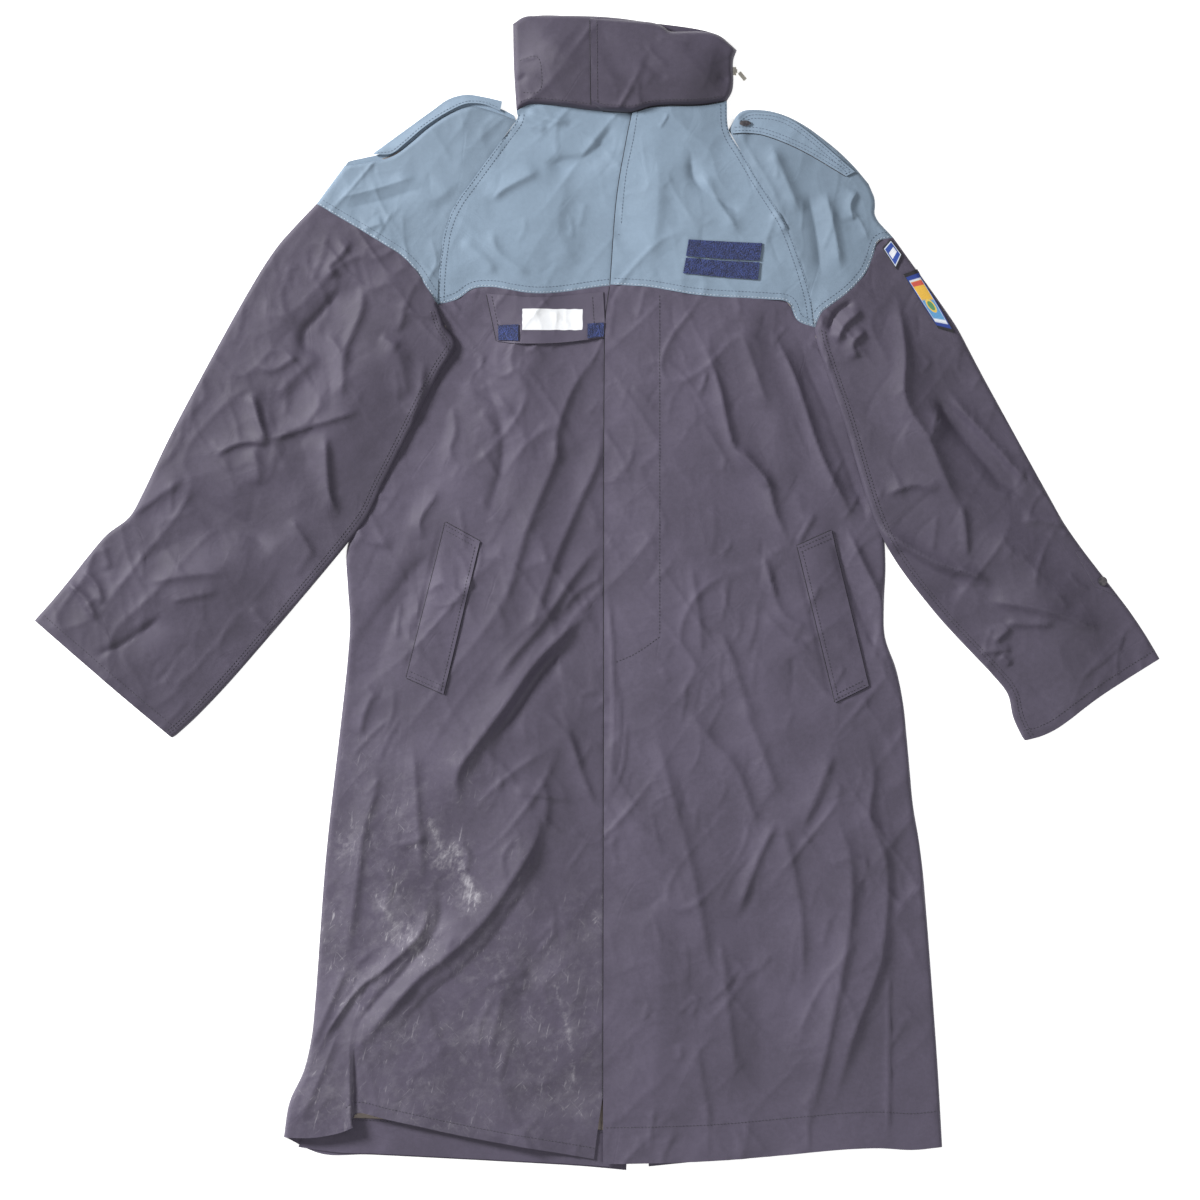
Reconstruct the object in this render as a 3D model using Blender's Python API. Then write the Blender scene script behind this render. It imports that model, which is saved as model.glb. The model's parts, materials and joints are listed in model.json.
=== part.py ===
"""Two-tone police raincoat, buttoned shut and laid flat on its back.

The garment is drawn as its maker would draw it: every seam and free edge is one line in SEAMS, and each
cut piece names the four sides it is bounded by, so two pieces that are sewn together share their line.
Tables are in millimetres: X is measured from the edge of the front placket towards the wearer's left and
Y upwards from the hem at that edge. Z is up, with the back panels lying on Z = 0.
"""

import math
from collections import namedtuple

import bmesh
import bpy
from mathutils import Matrix, Vector
from mathutils.bvhtree import BVHTree

MM = 0.001

# Cloth and layers, from the table upwards.
CLOTH = 1.2
SEAM_GAP = 0.3
TURN_UP_AT = 1.5
TURN_UP_CLOTH = 1.0
FRONT_AT = 2.8
LAYER_GAP = 0.6
UNDERLAP_LIFT = CLOTH + LAYER_GAP
SLEEVE_LIFT = FRONT_AT + CLOTH + 0.5
UNDERLAP_WIDTH = 76

# Fullness of the fronts and sleeves, and how far in from a free edge it takes to grow.
LOFT = 6.0
LOFT_WIDTH = 85.0
SLEEVE_LOFT = 5.0
FLAT_BY_SLEEVE = (35.0, 85.0)
RAMP_BY_BODY = (40.0, 95.0)

# Collar, with the hood rolled up inside it.
COLLAR_CLOTH = 2.0
COLLAR_BACK_AT = 1.3
COLLAR_FRONT_AT = 4.2
COLLAR_ROLL = 8.0
COLLAR_RISE = 7.0
COLLAR_LAP = 4.2
ROLL_WIDTH = 34.0
RISE_WIDTH = 60.0

# Trims.
TRIM_CLOTH = 1.0
TRIM_GAP = 0.45
BUTTON_THICK = 1.8
BUTTON_ROUND = 0.4
ZIP_TAPE_WIDTH = 20.0
ZIP_Y = 1202.0
ZIP_TAPE_START = -92.0
ZIP_TAPE_END = 138.0
ZIP_SLIDER = (9.0, 1.0)
ZIP_BRIDGE = (2.2, 4.0, 3.0)
ZIP_BRIDGE_X = 146.6
ZIP_BRIDGE_AT = 0.1
ZIP_PULL = (10.5, 4.2, 1.1)
ZIP_PULL_FROM_BRIDGE = (2.2, -1.5, 0.4)
ZIP_PULL_ANGLE = math.radians(-50)

# Finishes: colour and roughness.
SLATE = ((0.127, 0.112, 0.147), 0.82)
SKY = ((0.30, 0.39, 0.50), 0.8)
NAVY = ((0.03, 0.045, 0.15), 0.95)
BADGE = ((0.05, 0.10, 0.38), 0.7)
METAL = ((0.55, 0.53, 0.50), 0.35)
HORN = ((0.16, 0.15, 0.17), 0.45)

# A seam or edge: how many chords it has, and the points it is drawn through.
Seam = namedtuple("Seam", "chords points")
SEAMS = {
    # Neck and raglan lines, from the neck down.
    "neck_side_right": Seam(1, [(-95, 1158), (-95, 1148)]),
    "raglan_right": Seam(8, [(-95, 1148), (-135, 1093), (-168, 1044), (-179, 994), (-182, 945)]),
    "underarm_right": Seam(2, [(-182, 945), (-177, 926), (-163, 901)]),
    "neck_side_left": Seam(1, [(136, 1169), (138, 1137)]),
    "raglan_left": Seam(8, [(138, 1137), (173, 1077), (202, 1030), (226, 961), (233, 920)]),
    "underarm_left": Seam(2, [(233, 920), (237, 901)]),
    # Yoke seams and necklines, from the wearer's right to the left.
    "yoke_right": Seam(11, [(-182, 945), (-155, 953), (-133, 965), (-69, 957), (6, 966), (54, 968)]),
    "yoke_left": Seam(
        11, [(8, 967), (52, 964), (107, 955), (189, 950), (206, 945), (215, 926), (233, 920)]
    ),
    "neck_right": Seam(
        11, [(-95, 1158), (-80, 1165), (-47, 1163), (-3, 1158), (30, 1162), (76, 1172)]
    ),
    "neck_left": Seam(11, [(32, 1155), (57, 1162), (107, 1164), (136, 1169)]),
    # Edges of the placket: the left one shows, the right one is lapped under it.
    "placket_yoke_right": Seam(9, [(54, 968), (63, 1060), (76, 1172)]),
    "placket_right": Seam(26, [(-10, 6), (1, 81), (32, 235), (52, 510), (54, 968)]),
    "placket_yoke_left": Seam(9, [(8, 967), (15, 1060), (26, 1126), (32, 1155)]),
    "placket_left": Seam(26, [(0, 1), (1, 510), (2, 895), (8, 967)]),
    # Sleeves.
    "cap_right": Seam(8, [(-315, 1056), (-242, 1012), (-212, 990), (-190, 958), (-182, 945)]),
    "cap_left": Seam(8, [(319, 1019), (302, 1014), (292, 986), (272, 961), (239, 935), (233, 920)]),
    "cap_edge_right": Seam(8, [(-315, 1056), (-284, 1098)]),
    "cap_edge_left": Seam(8, [(319, 1019), (300, 1041), (299, 1060), (292, 1078)]),
    "shoulder_right": Seam(8, [(-284, 1098), (-231, 1109), (-190, 1141), (-146, 1163), (-95, 1148)]),
    "shoulder_left": Seam(8, [(292, 1078), (261, 1112), (206, 1151), (156, 1159), (138, 1137)]),
    "sleeve_outer_right": Seam(
        18, [(-315, 1056), (-372, 989), (-464, 824), (-518, 716), (-549, 689), (-596, 631), (-625, 598)]
    ),
    "sleeve_inner_right": Seam(
        18, [(-163, 901), (-188, 857), (-245, 745), (-274, 694), (-396, 549), (-447, 494), (-474, 469)]
    ),
    "cuff_right": Seam(10, [(-625, 598), (-518, 506), (-474, 469)]),
    "sleeve_outer_left": Seam(
        18, [(319, 1019), (386, 925), (414, 873), (485, 744), (517, 690), (582, 604), (612, 556)]
    ),
    "sleeve_inner_left": Seam(
        18, [(237, 901), (266, 818), (305, 697), (360, 615), (440, 527), (448, 502), (464, 466)]
    ),
    "cuff_left": Seam(10, [(612, 556), (547, 515), (502, 481), (477, 469), (464, 466)]),
    # Sides of the body, from the underarm down.
    "side_right": Seam(
        24,
        [
            (-163, 901), (-248, 813), (-276, 694), (-283, 659), (-279, 576),
            (-304, 345), (-321, 136), (-343, 75), (-351, 30),
        ],
    ),
    "side_left": Seam(
        24,
        [
            (237, 901), (296, 807), (310, 681), (309, 620), (311, 574),
            (328, 521), (342, 384), (351, 329), (366, 136), (373, 19),
        ],
    ),
    # Hems, from the wearer's right to the left. The right front has a pleat: its flap ends at a step.
    "hem_flap": Seam(2, [(-351, 30), (-311, 31), (-279, 40)]),
    "hem_step": Seam(1, [(-279, 40), (-271, 57)]),
    "hem_right": Seam(8, [(-271, 57), (-219, 46), (-145, 30), (-10, 6)]),
    "hem_left": Seam(11, [(0, 1), (50, 2), (141, 6), (280, 18), (345, 16), (373, 19)]),
    "hem_back_right": Seam(
        8, [(-351, 30), (-334, 16), (-314, 11), (-256, 10), (-47, -1), (26, -7)]
    ),
    "hem_back_left": Seam(8, [(50, -3), (141, 6), (280, 18), (373, 19)]),
    # Centre back seam, open below as a vent, and the back yoke and neckline.
    "centre_back": Seam(16, [(38, 290), (41, 953)]),
    "vent_right": Seam(10, [(26, -7), (32, 125), (38, 290)]),
    "vent_left": Seam(10, [(50, -3), (44, 125), (38, 290)]),
    "yoke_back_right": Seam(8, [(-182, 945), (-91, 950), (41, 953)]),
    "yoke_back_left": Seam(8, [(41, 953), (151, 947), (233, 920)]),
    "neck_back": Seam(16, [(-95, 1148), (-47, 1140), (41, 1136), (107, 1140), (138, 1137)]),
    # Collar.
    "collar_end_right": Seam(5, [(-95, 1158), (-98, 1205), (-99, 1254)]),
    "collar_end_left": Seam(5, [(136, 1169), (143, 1184), (143, 1212), (147, 1225)]),
    "collar_top_right": Seam(11, [(-99, 1254), (-85, 1262), (-3, 1262), (57, 1254), (76, 1245)]),
    "collar_hidden_edge": Seam(5, [(76, 1172), (76, 1245)]),
    "collar_top_left": Seam(15, [(-14, 1261), (57, 1255), (72, 1246), (121, 1244), (147, 1225)]),
    "collar_tab_foot": Seam(4, [(-13, 1163), (0, 1158), (32, 1156)]),
    "collar_edge": Seam(5, [(-13, 1163), (-14, 1261)]),
    "collar_top_back": Seam(
        16, [(-99, 1255), (-85, 1263), (-47, 1265), (57, 1256), (121, 1245), (147, 1225)]
    ),
}

# A cut piece: the seams along its four sides. A minus sign runs a seam backwards, so that the foot and
# the head go from the wearer's right to the left and the other two sides go up.
Piece = namedtuple("Piece", "foot head right_side left_side")
BODY_RIGHT = Piece(
    ["hem_flap", "hem_step", "hem_right"],
    ["yoke_right"],
    ["-side_right", "-underarm_right"],
    ["placket_right"],
)
BODY_LEFT = Piece(["hem_left"], ["yoke_left"], ["placket_left"], ["-side_left", "-underarm_left"])
YOKE_RIGHT = Piece(
    ["yoke_right"], ["neck_right"], ["-raglan_right", "-neck_side_right"], ["placket_yoke_right"]
)
YOKE_LEFT = Piece(
    ["yoke_left"], ["neck_left"], ["placket_yoke_left"], ["-raglan_left", "-neck_side_left"]
)
CAP_RIGHT = Piece(["cap_right"], ["shoulder_right"], ["cap_edge_right"], ["-raglan_right"])
CAP_LEFT = Piece(["-cap_left"], ["-shoulder_left"], ["-raglan_left"], ["cap_edge_left"])
SLEEVE_RIGHT = Piece(
    ["cuff_right"], ["cap_right", "underarm_right"], ["-sleeve_outer_right"], ["-sleeve_inner_right"]
)
SLEEVE_LEFT = Piece(
    ["-cuff_left"], ["-underarm_left", "-cap_left"], ["-sleeve_inner_left"], ["-sleeve_outer_left"]
)
BACK_RIGHT = Piece(
    ["hem_back_right"],
    ["yoke_back_right"],
    ["-side_right", "-underarm_right"],
    ["vent_right", "centre_back"],
)
BACK_LEFT = Piece(
    ["hem_back_left"],
    ["yoke_back_left"],
    ["vent_left", "centre_back"],
    ["-side_left", "-underarm_left"],
)
BACK_YOKE = Piece(
    ["yoke_back_right", "yoke_back_left"], ["neck_back"], ["-raglan_right"], ["-raglan_left"]
)
COLLAR_BACK = Piece(
    ["neck_back"],
    ["collar_top_back"],
    ["-neck_side_right", "collar_end_right"],
    ["-neck_side_left", "collar_end_left"],
)
COLLAR_RIGHT = Piece(
    ["neck_right"], ["collar_top_right"], ["collar_end_right"], ["collar_hidden_edge"]
)
COLLAR_LEFT = Piece(
    ["collar_tab_foot", "neck_left"], ["collar_top_left"], ["collar_edge"], ["collar_end_left"]
)

# Largest folds: a ridge where the height is above nought and a trough where it is below.
Fold = namedtuple("Fold", "height width path")
FOLDS_RIGHT = [
    Fold(6.0, 34, [(-66, 393), (-101, 322), (-136, 273), (-188, 231), (-258, 167), (-311, 116)]),
    Fold(-5.0, 26, [(-150, 290), (-200, 245), (-262, 200), (-300, 160)]),
    Fold(5.0, 34, [(-60, 720), (-90, 600), (-120, 520), (-165, 440), (-200, 380)]),
    Fold(-4.0, 26, [(-20, 690), (-60, 605), (-84, 569), (-133, 517)]),
    Fold(-4.0, 24, [(-185, 672), (-223, 625), (-245, 582)]),
]
FOLDS_LEFT = [
    Fold(5.0, 28, [(160, 900), (190, 830), (220, 760), (250, 700)]),
    Fold(-4.0, 24, [(140, 880), (175, 800), (200, 740)]),
    Fold(-5.0, 22, [(262, 690), (278, 600), (312, 555)]),
    Fold(4.0, 30, [(170, 520), (200, 420), (195, 340)]),
    Fold(4.0, 30, [(255, 380), (280, 250), (250, 120)]),
    Fold(-3.0, 26, [(90, 500), (150, 430), (172, 358)]),
]
FOLDS_SLEEVE_RIGHT = [
    Fold(-4.0, 24, [(-270, 980), (-310, 900), (-363, 837)]),
    Fold(4.0, 30, [(-240, 960), (-268, 880), (-290, 800)]),
    Fold(-4.0, 26, [(-457, 740), (-412, 709), (-363, 675)]),
    Fold(4.0, 30, [(-470, 640), (-400, 660), (-340, 670)]),
]
FOLDS_SLEEVE_LEFT = [
    Fold(-4.0, 24, [(369, 844), (410, 790), (453, 744)]),
    Fold(4.0, 30, [(330, 860), (370, 760), (400, 690)]),
    Fold(-4.0, 22, [(315, 705), (370, 665), (420, 640)]),
    Fold(4.0, 30, [(440, 690), (490, 620), (540, 590)]),
]

# The pleat at the right front's hem: its flap rises above the rest of the front, and fades upwards.
PLEAT_X = -275.0
PLEAT_STEP = 4.0
PLEAT_RISE = 7.0
PLEAT_FADE = (60.0, 150.0)

# A trim laid on the cloth: its sides as point lists in the order of Piece, the cells across and up, what
# it lies on, and its material.
Trim = namedtuple("Trim", "foot head cells on finish")
TRIMS = {
    "pocket_welt_right": Trim(
        [(-216, 535), (-175, 517)], [(-173, 706), (-135, 685)], (3, 8), ["front_right_body"], SLATE
    ),
    "pocket_welt_left": Trim(
        [(255, 508), (292, 526)], [(213, 680), (251, 697)], (3, 8), ["front_left_body"], SLATE
    ),
    "name_flap": Trim(
        [(-117, 905), (-91, 902), (-48, 903), (3, 909)],
        [(-128, 957), (-70, 953), (0, 959)],
        (7, 4),
        ["front_right_body"],
        SLATE,
    ),
    "flap_loop_pad_right": Trim(
        [(-115, 906), (-93, 905)], [(-115, 922), (-93, 923)], (3, 2), ["name_flap"], NAVY
    ),
    "flap_loop_pad_left": Trim(
        [(-17, 908), (1, 910)], [(-17, 924), (1, 925)], (3, 2), ["name_flap"], NAVY
    ),
    "chest_loop_lower": Trim(
        [(88, 979), (130, 975), (170, 972)],
        [(91, 996), (130, 993), (172, 991)],
        (5, 2),
        ["front_left_yoke"],
        NAVY,
    ),
    "chest_loop_upper": Trim(
        [(91, 998), (130, 995), (172, 993)],
        [(94, 1016), (130, 1014), (175, 1012)],
        (5, 2),
        ["front_left_yoke"],
        NAVY,
    ),
    "sleeve_badge": Trim(
        [(332, 963), (348, 940), (367, 914)],
        [(342, 985), (364, 954), (385, 922)],
        (5, 3),
        ["sleeve_left_front"],
        BADGE,
    ),
    "sleeve_title": Trim(
        [(307, 1008), (316, 987)], [(324, 1009), (334, 993)], (3, 3), ["sleeve_left_front"], BADGE
    ),
    "cuff_tab": Trim(
        [(519, 674), (540, 636)], [(526, 675), (564, 625)], (4, 2), ["sleeve_left_front"], SLATE
    ),
    "epaulette_left": Trim(
        [(142, 1133), (173, 1132), (217, 1115), (267, 1086)],
        [(146, 1146), (158, 1155), (206, 1148), (277, 1091)],
        (9, 3),
        ["sleeve_left_cap_front"],
        SKY,
    ),
}

# A button: its middle, its radii (the strap's button is tipped up on its edge) and what it rests on.
Button = namedtuple("Button", "centre radii on")
BUTTONS = {
    "epaulette_button": Button((156, 1144), (6.2, 3.1), "epaulette_left"),
    "cuff_button": Button((549, 641), (5.0, 5.0), "cuff_tab"),
}

# The right shoulder strap has rolled over the shoulder's edge and shows only its own edge.
STRAP_FOOT = [(-252, 1110), (-231, 1112), (-190, 1145), (-146, 1167), (-113, 1158)]
STRAP_HEAD = [(-252, 1112), (-190, 1157), (-168, 1172), (-146, 1176), (-111, 1169)]
STRAP_CELLS = (8, 2)
STRAP_HEIGHTS = (4.5, 0.6)

# The back's hem, turned up inside.
TURN_UP_FOOT = [(-335, 19), (-314, 13), (-256, 12), (-47, 1), (22, -4)]
TURN_UP_HEAD = [(-322, 52), (-256, 50), (-47, 40), (22, 36)]
TURN_UP_CELLS = (8, 2)

surfaces = {}


def clear_scene():
    for thing in list(bpy.data.objects):
        bpy.data.objects.remove(thing)


def finish_material(name, finish, metallic=0.0):
    colour, roughness = finish
    material = bpy.data.materials.new(name)
    material.use_nodes = True
    shader = material.node_tree.nodes["Principled BSDF"]
    shader.inputs["Base Color"].default_value = (*colour, 1.0)
    shader.inputs["Roughness"].default_value = roughness
    shader.inputs["Metallic"].default_value = metallic
    return material


def smooth_step(value, low, high):
    part = min(1.0, max(0.0, (value - low) / (high - low)))
    return part * part * (3.0 - 2.0 * part)


def curve_through(points, chords):
    """Equal chords along a Catmull-Rom curve through the points."""
    knots = [Vector(point) for point in points]
    ends = [2 * knots[0] - knots[1], *knots, 2 * knots[-1] - knots[-2]]
    steps = 24
    fine = []
    for before, start, stop, after in zip(ends, ends[1:], ends[2:], ends[3:]):
        for step in range(steps):
            t = step / steps
            fine.append(
                0.5
                * (
                    2 * start
                    + (stop - before) * t
                    + (2 * before - 5 * start + 4 * stop - after) * t * t
                    + (3 * start - before - 3 * stop + after) * t**3
                )
            )
    fine.append(knots[-1])
    lengths = [0.0]
    for a, b in zip(fine, fine[1:]):
        lengths.append(lengths[-1] + (b - a).length)
    result = []
    place = 0
    for chord in range(chords + 1):
        wanted = lengths[-1] * chord / chords
        while place < len(fine) - 2 and lengths[place + 1] < wanted:
            place += 1
        part = (wanted - lengths[place]) / (lengths[place + 1] - lengths[place])
        result.append(fine[place].lerp(fine[place + 1], part))
    return result


def seam_line(name):
    backwards = name.startswith("-")
    seam = SEAMS[name.lstrip("-")]
    points = curve_through(seam.points, seam.chords)
    return points[::-1] if backwards else points


def side_line(names):
    points = seam_line(names[0])
    for name in names[1:]:
        points += seam_line(name)[1:]
    return points


def distance_to(point, line):
    """Shortest distance from a point to a line of chords."""
    best = math.inf
    for a, b in zip(line, line[1:]):
        span = b - a
        part = min(1.0, max(0.0, (point - a).dot(span) / span.length_squared))
        best = min(best, (a + span * part - point).length)
    return best


def filled_grid(foot, head, right_side, left_side):
    """Coons patch: the grid of points between four sides."""
    across = len(foot) - 1
    up = len(right_side) - 1
    grid = []
    for j in range(up + 1):
        v = j / up
        row = []
        for i in range(across + 1):
            u = i / across
            ruled = (1 - v) * foot[i] + v * head[i] + (1 - u) * right_side[j] + u * left_side[j]
            corners = (1 - u) * (1 - v) * foot[0] + u * (1 - v) * foot[-1]
            corners += (1 - u) * v * head[0] + u * v * head[-1]
            row.append(ruled - corners)
        grid.append(row)
    return grid


def step_in(grid, by):
    """Moves the outermost points of a grid inwards, square to the edge, so that seams keep their gap."""
    edge = [(0, i) for i in range(len(grid[0]))]
    edge += [(j, len(grid[0]) - 1) for j in range(1, len(grid))]
    edge += [(len(grid) - 1, i) for i in range(len(grid[0]) - 2, -1, -1)]
    edge += [(j, 0) for j in range(len(grid) - 2, 0, -1)]
    points = [grid[j][i].copy() for j, i in edge]
    for index, (j, i) in enumerate(edge):
        here = points[index]
        back = (here - points[index - 1]).normalized()
        ahead = (points[(index + 1) % len(points)] - here).normalized()
        inward_back = Vector((-back.y, back.x))
        inward_ahead = Vector((-ahead.y, ahead.x))
        mitre = inward_back + inward_ahead
        grid[j][i] = here + mitre * (by / max(0.6, 1.0 + inward_back.dot(inward_ahead)))


def solid_from_grid(name, grid, underside, thickness, material):
    """A wall of cloth: the grid laid at the heights underside(point), extruded straight up."""
    up = len(grid) - 1
    across = len(grid[0]) - 1
    mesh = bmesh.new()
    bmesh.ops.create_grid(mesh, x_segments=across, y_segments=up, size=0.5)
    for vertex in mesh.verts:
        i = round((vertex.co.x + 0.5) * across)
        j = round((vertex.co.y + 0.5) * up)
        point = grid[j][i]
        vertex.co = Vector((point.x, point.y, underside(point))) * MM
    bmesh.ops.triangulate(mesh, faces=mesh.faces, quad_method="FIXED")
    sheet = list(mesh.faces)
    extruded = bmesh.ops.extrude_face_region(mesh, geom=sheet, use_keep_orig=True)
    raised = [item for item in extruded["geom"] if isinstance(item, bmesh.types.BMVert)]
    bmesh.ops.translate(mesh, verts=raised, vec=(0, 0, thickness * MM))
    bmesh.ops.recalc_face_normals(mesh, faces=mesh.faces)
    surfaces[name] = BVHTree.FromBMesh(mesh)
    return add_object(name, mesh, material)


def add_object(name, mesh, material):
    data = bpy.data.meshes.new(name)
    mesh.to_mesh(data)
    mesh.free()
    data.materials.append(material)
    thing = bpy.data.objects.new(name, data)
    bpy.context.collection.objects.link(thing)
    return thing


def cut_piece(name, piece, underside, material, thickness=CLOTH):
    grid = filled_grid(*(side_line(names) for names in piece))
    step_in(grid, SEAM_GAP / 2)
    return solid_from_grid(name, grid, underside, thickness, material)


def fold_height(point, folds):
    height = 0.0
    for fold in folds:
        reach = distance_to(point, [Vector(place) for place in fold.path]) / fold.width
        height += fold.height * math.exp(-reach * reach)
    return height


# Free edges, where the fullness dies away.
body_edges = [
    side_line(["side_right"]),
    side_line(["side_left"]),
    side_line(["shoulder_right"]),
    side_line(["shoulder_left"]),
]
sleeve_edges = {
    "right": [side_line([name]) for name in ("sleeve_outer_right", "sleeve_inner_right", "cap_edge_right")],
    "left": [side_line([name]) for name in ("sleeve_outer_left", "sleeve_inner_left", "cap_edge_left")],
}


def body_relief(point, folds):
    """Height of a front above its lowest level: nought at the sides and under the sleeves."""
    edge = min(distance_to(point, line) for line in body_edges)
    sleeve = min(distance_to(point, sleeve_edges["right"][1]), distance_to(point, sleeve_edges["left"][1]))
    loose = smooth_step(edge, 0.0, LOFT_WIDTH)
    clear = smooth_step(sleeve, *FLAT_BY_SLEEVE)
    return max(0.0, (LOFT + fold_height(point, folds)) * loose * clear)


def pleat_rise(point):
    beyond = smooth_step(PLEAT_X - point.x, -PLEAT_STEP, PLEAT_STEP)
    return PLEAT_RISE * beyond * (1.0 - smooth_step(point.y, *PLEAT_FADE))


def right_front_height(point):
    """The right front is flat where the left one laps over it."""
    open_part = smooth_step(-point.x, 30.0, 90.0)
    return FRONT_AT + body_relief(point, FOLDS_RIGHT) * open_part + pleat_rise(point)


def left_front_height(point):
    lapped = 1.0 - smooth_step(point.x, UNDERLAP_WIDTH + 25.0, UNDERLAP_WIDTH + 90.0)
    open_part = smooth_step(point.x, -20.0, 60.0)
    return FRONT_AT + UNDERLAP_LIFT * lapped + body_relief(point, FOLDS_LEFT) * open_part


def body_distance(point, side):
    """How far a point of a sleeve lies from the part of the body that is under it."""
    line = side_line([f"side_{side}"])
    heights = [corner.y for corner in line]
    sign = 1 if side == "right" else -1
    for a, b in zip(line, line[1:]):
        if b.y <= point.y <= a.y:
            edge_x = a.x + (b.x - a.x) * (a.y - point.y) / (a.y - b.y)
            if sign * (point.x - edge_x) > 0:
                return 0.0
    if point.y > max(heights):
        return (point - line[0]).length
    return distance_to(point, line)


def sleeve_back_height(side):
    return lambda point: SLEEVE_LIFT * (1.0 - smooth_step(body_distance(point, side), *RAMP_BY_BODY))


def sleeve_front_height(side, folds):
    back = sleeve_back_height(side)

    def height(point):
        edge = min(distance_to(point, line) for line in sleeve_edges[side])
        loose = smooth_step(edge, 0.0, LOFT_WIDTH)
        return back(point) + FRONT_AT + max(0.0, SLEEVE_LOFT + fold_height(point, folds)) * loose

    return height


def cap_front_height(side, folds):
    """The cap is as full as the yoke at the raglan line and as the sleeve at its lower seam."""
    back = sleeve_back_height(side)
    sleeve = sleeve_front_height(side, folds)
    yoke = right_front_height if side == "right" else left_front_height
    raglan = side_line([f"raglan_{side}"])
    lower = side_line([f"cap_{side}"])

    def height(point):
        to_raglan = distance_to(point, raglan)
        to_lower = distance_to(point, lower)
        share = to_raglan / max(1e-6, to_raglan + to_lower)
        blended = yoke(point) * (1.0 - share) + sleeve(point) * share
        return max(blended, back(point) + FRONT_AT)

    return height


def collar_height(lap):
    """The front of the collar bulges over the rolled hood; the lapped end lies higher by lap."""
    sides = (COLLAR_BACK.right_side, COLLAR_BACK.head, COLLAR_BACK.left_side)
    outline = [side_line(names) for names in sides]
    necks = [side_line(["neck_right"]), side_line(["neck_left"])]

    def height(point):
        from_top = min(distance_to(point, line) for line in outline)
        from_neck = min(distance_to(point, line) for line in necks)
        roll = COLLAR_ROLL * smooth_step(min(from_top, from_neck), 0.0, ROLL_WIDTH)
        rise = COLLAR_RISE * smooth_step(from_top, 0.0, RISE_WIDTH)
        return COLLAR_FRONT_AT + roll + rise + lap

    return height


def resting_height(point, supports, reach):
    """Highest point of the cloth under a spot and all round it."""
    highest = 0.0
    spots = [Vector((0.0, 0.0))]
    for turn in range(8):
        spots.append(Vector((math.cos(turn * math.pi / 4), math.sin(turn * math.pi / 4))) * reach)
    for spot in spots:
        above = Vector(((point.x + spot.x) * MM, (point.y + spot.y) * MM, 1.0))
        for name in supports:
            hit = surfaces[name].ray_cast(above, Vector((0, 0, -1)))[0]
            if hit is not None:
                highest = max(highest, hit.z / MM)
    return highest


def laid_trim(name, trim, material):
    across, up = trim.cells
    foot = curve_through(trim.foot, across)
    head = curve_through(trim.head, across)
    right_side = curve_through([foot[0], head[0]], up)
    left_side = curve_through([foot[-1], head[-1]], up)
    reach = 0.7 * max((foot[1] - foot[0]).length, (right_side[1] - right_side[0]).length)
    grid = filled_grid(foot, head, right_side, left_side)
    return solid_from_grid(
        name, grid, lambda point: resting_height(point, trim.on, reach) + TRIM_GAP, TRIM_CLOTH, material
    )


def strip_between(name, foot, head, cells, heights, thickness, material):
    """A strip from one height along its foot to another along its head."""
    across, up = cells
    foot_line = curve_through(foot, across)
    head_line = curve_through(head, across)
    right_side = curve_through([foot_line[0], head_line[0]], up)
    left_side = curve_through([foot_line[-1], head_line[-1]], up)
    grid = filled_grid(foot_line, head_line, right_side, left_side)

    def height(point):
        share = distance_to(point, foot_line)
        share /= share + distance_to(point, head_line)
        return heights[0] + (heights[1] - heights[0]) * share

    return solid_from_grid(name, grid, height, thickness, material)


def disc(name, button, material):
    """A short cylinder with a rounded rim, resting on the cloth."""
    mesh = bmesh.new()
    bmesh.ops.create_cone(
        mesh, cap_ends=True, segments=16, radius1=1.0, radius2=1.0, depth=BUTTON_THICK * MM
    )
    bmesh.ops.scale(mesh, verts=mesh.verts, vec=Vector((*button.radii, 1.0 / MM)) * MM)
    rim = [edge for edge in mesh.edges if all(vertex.co.z > 0 for vertex in edge.verts)]
    bmesh.ops.bevel(
        mesh, geom=rim, offset=BUTTON_ROUND * MM, segments=2, profile=0.5, affect="EDGES", material=-1
    )
    lowest = resting_height(Vector(button.centre), [button.on], max(button.radii)) + TRIM_GAP
    place = Vector((*button.centre, lowest + BUTTON_THICK / 2)) * MM
    bmesh.ops.translate(mesh, verts=mesh.verts, vec=place)
    return add_object(name, mesh, material)


def block(mesh, size, centre):
    """A box added to a mesh, in millimetres."""
    made = bmesh.ops.create_cube(mesh, size=1.0)["verts"]
    bmesh.ops.scale(mesh, verts=made, vec=Vector(size) * MM)
    bmesh.ops.translate(mesh, verts=made, vec=Vector(centre) * MM)


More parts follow.
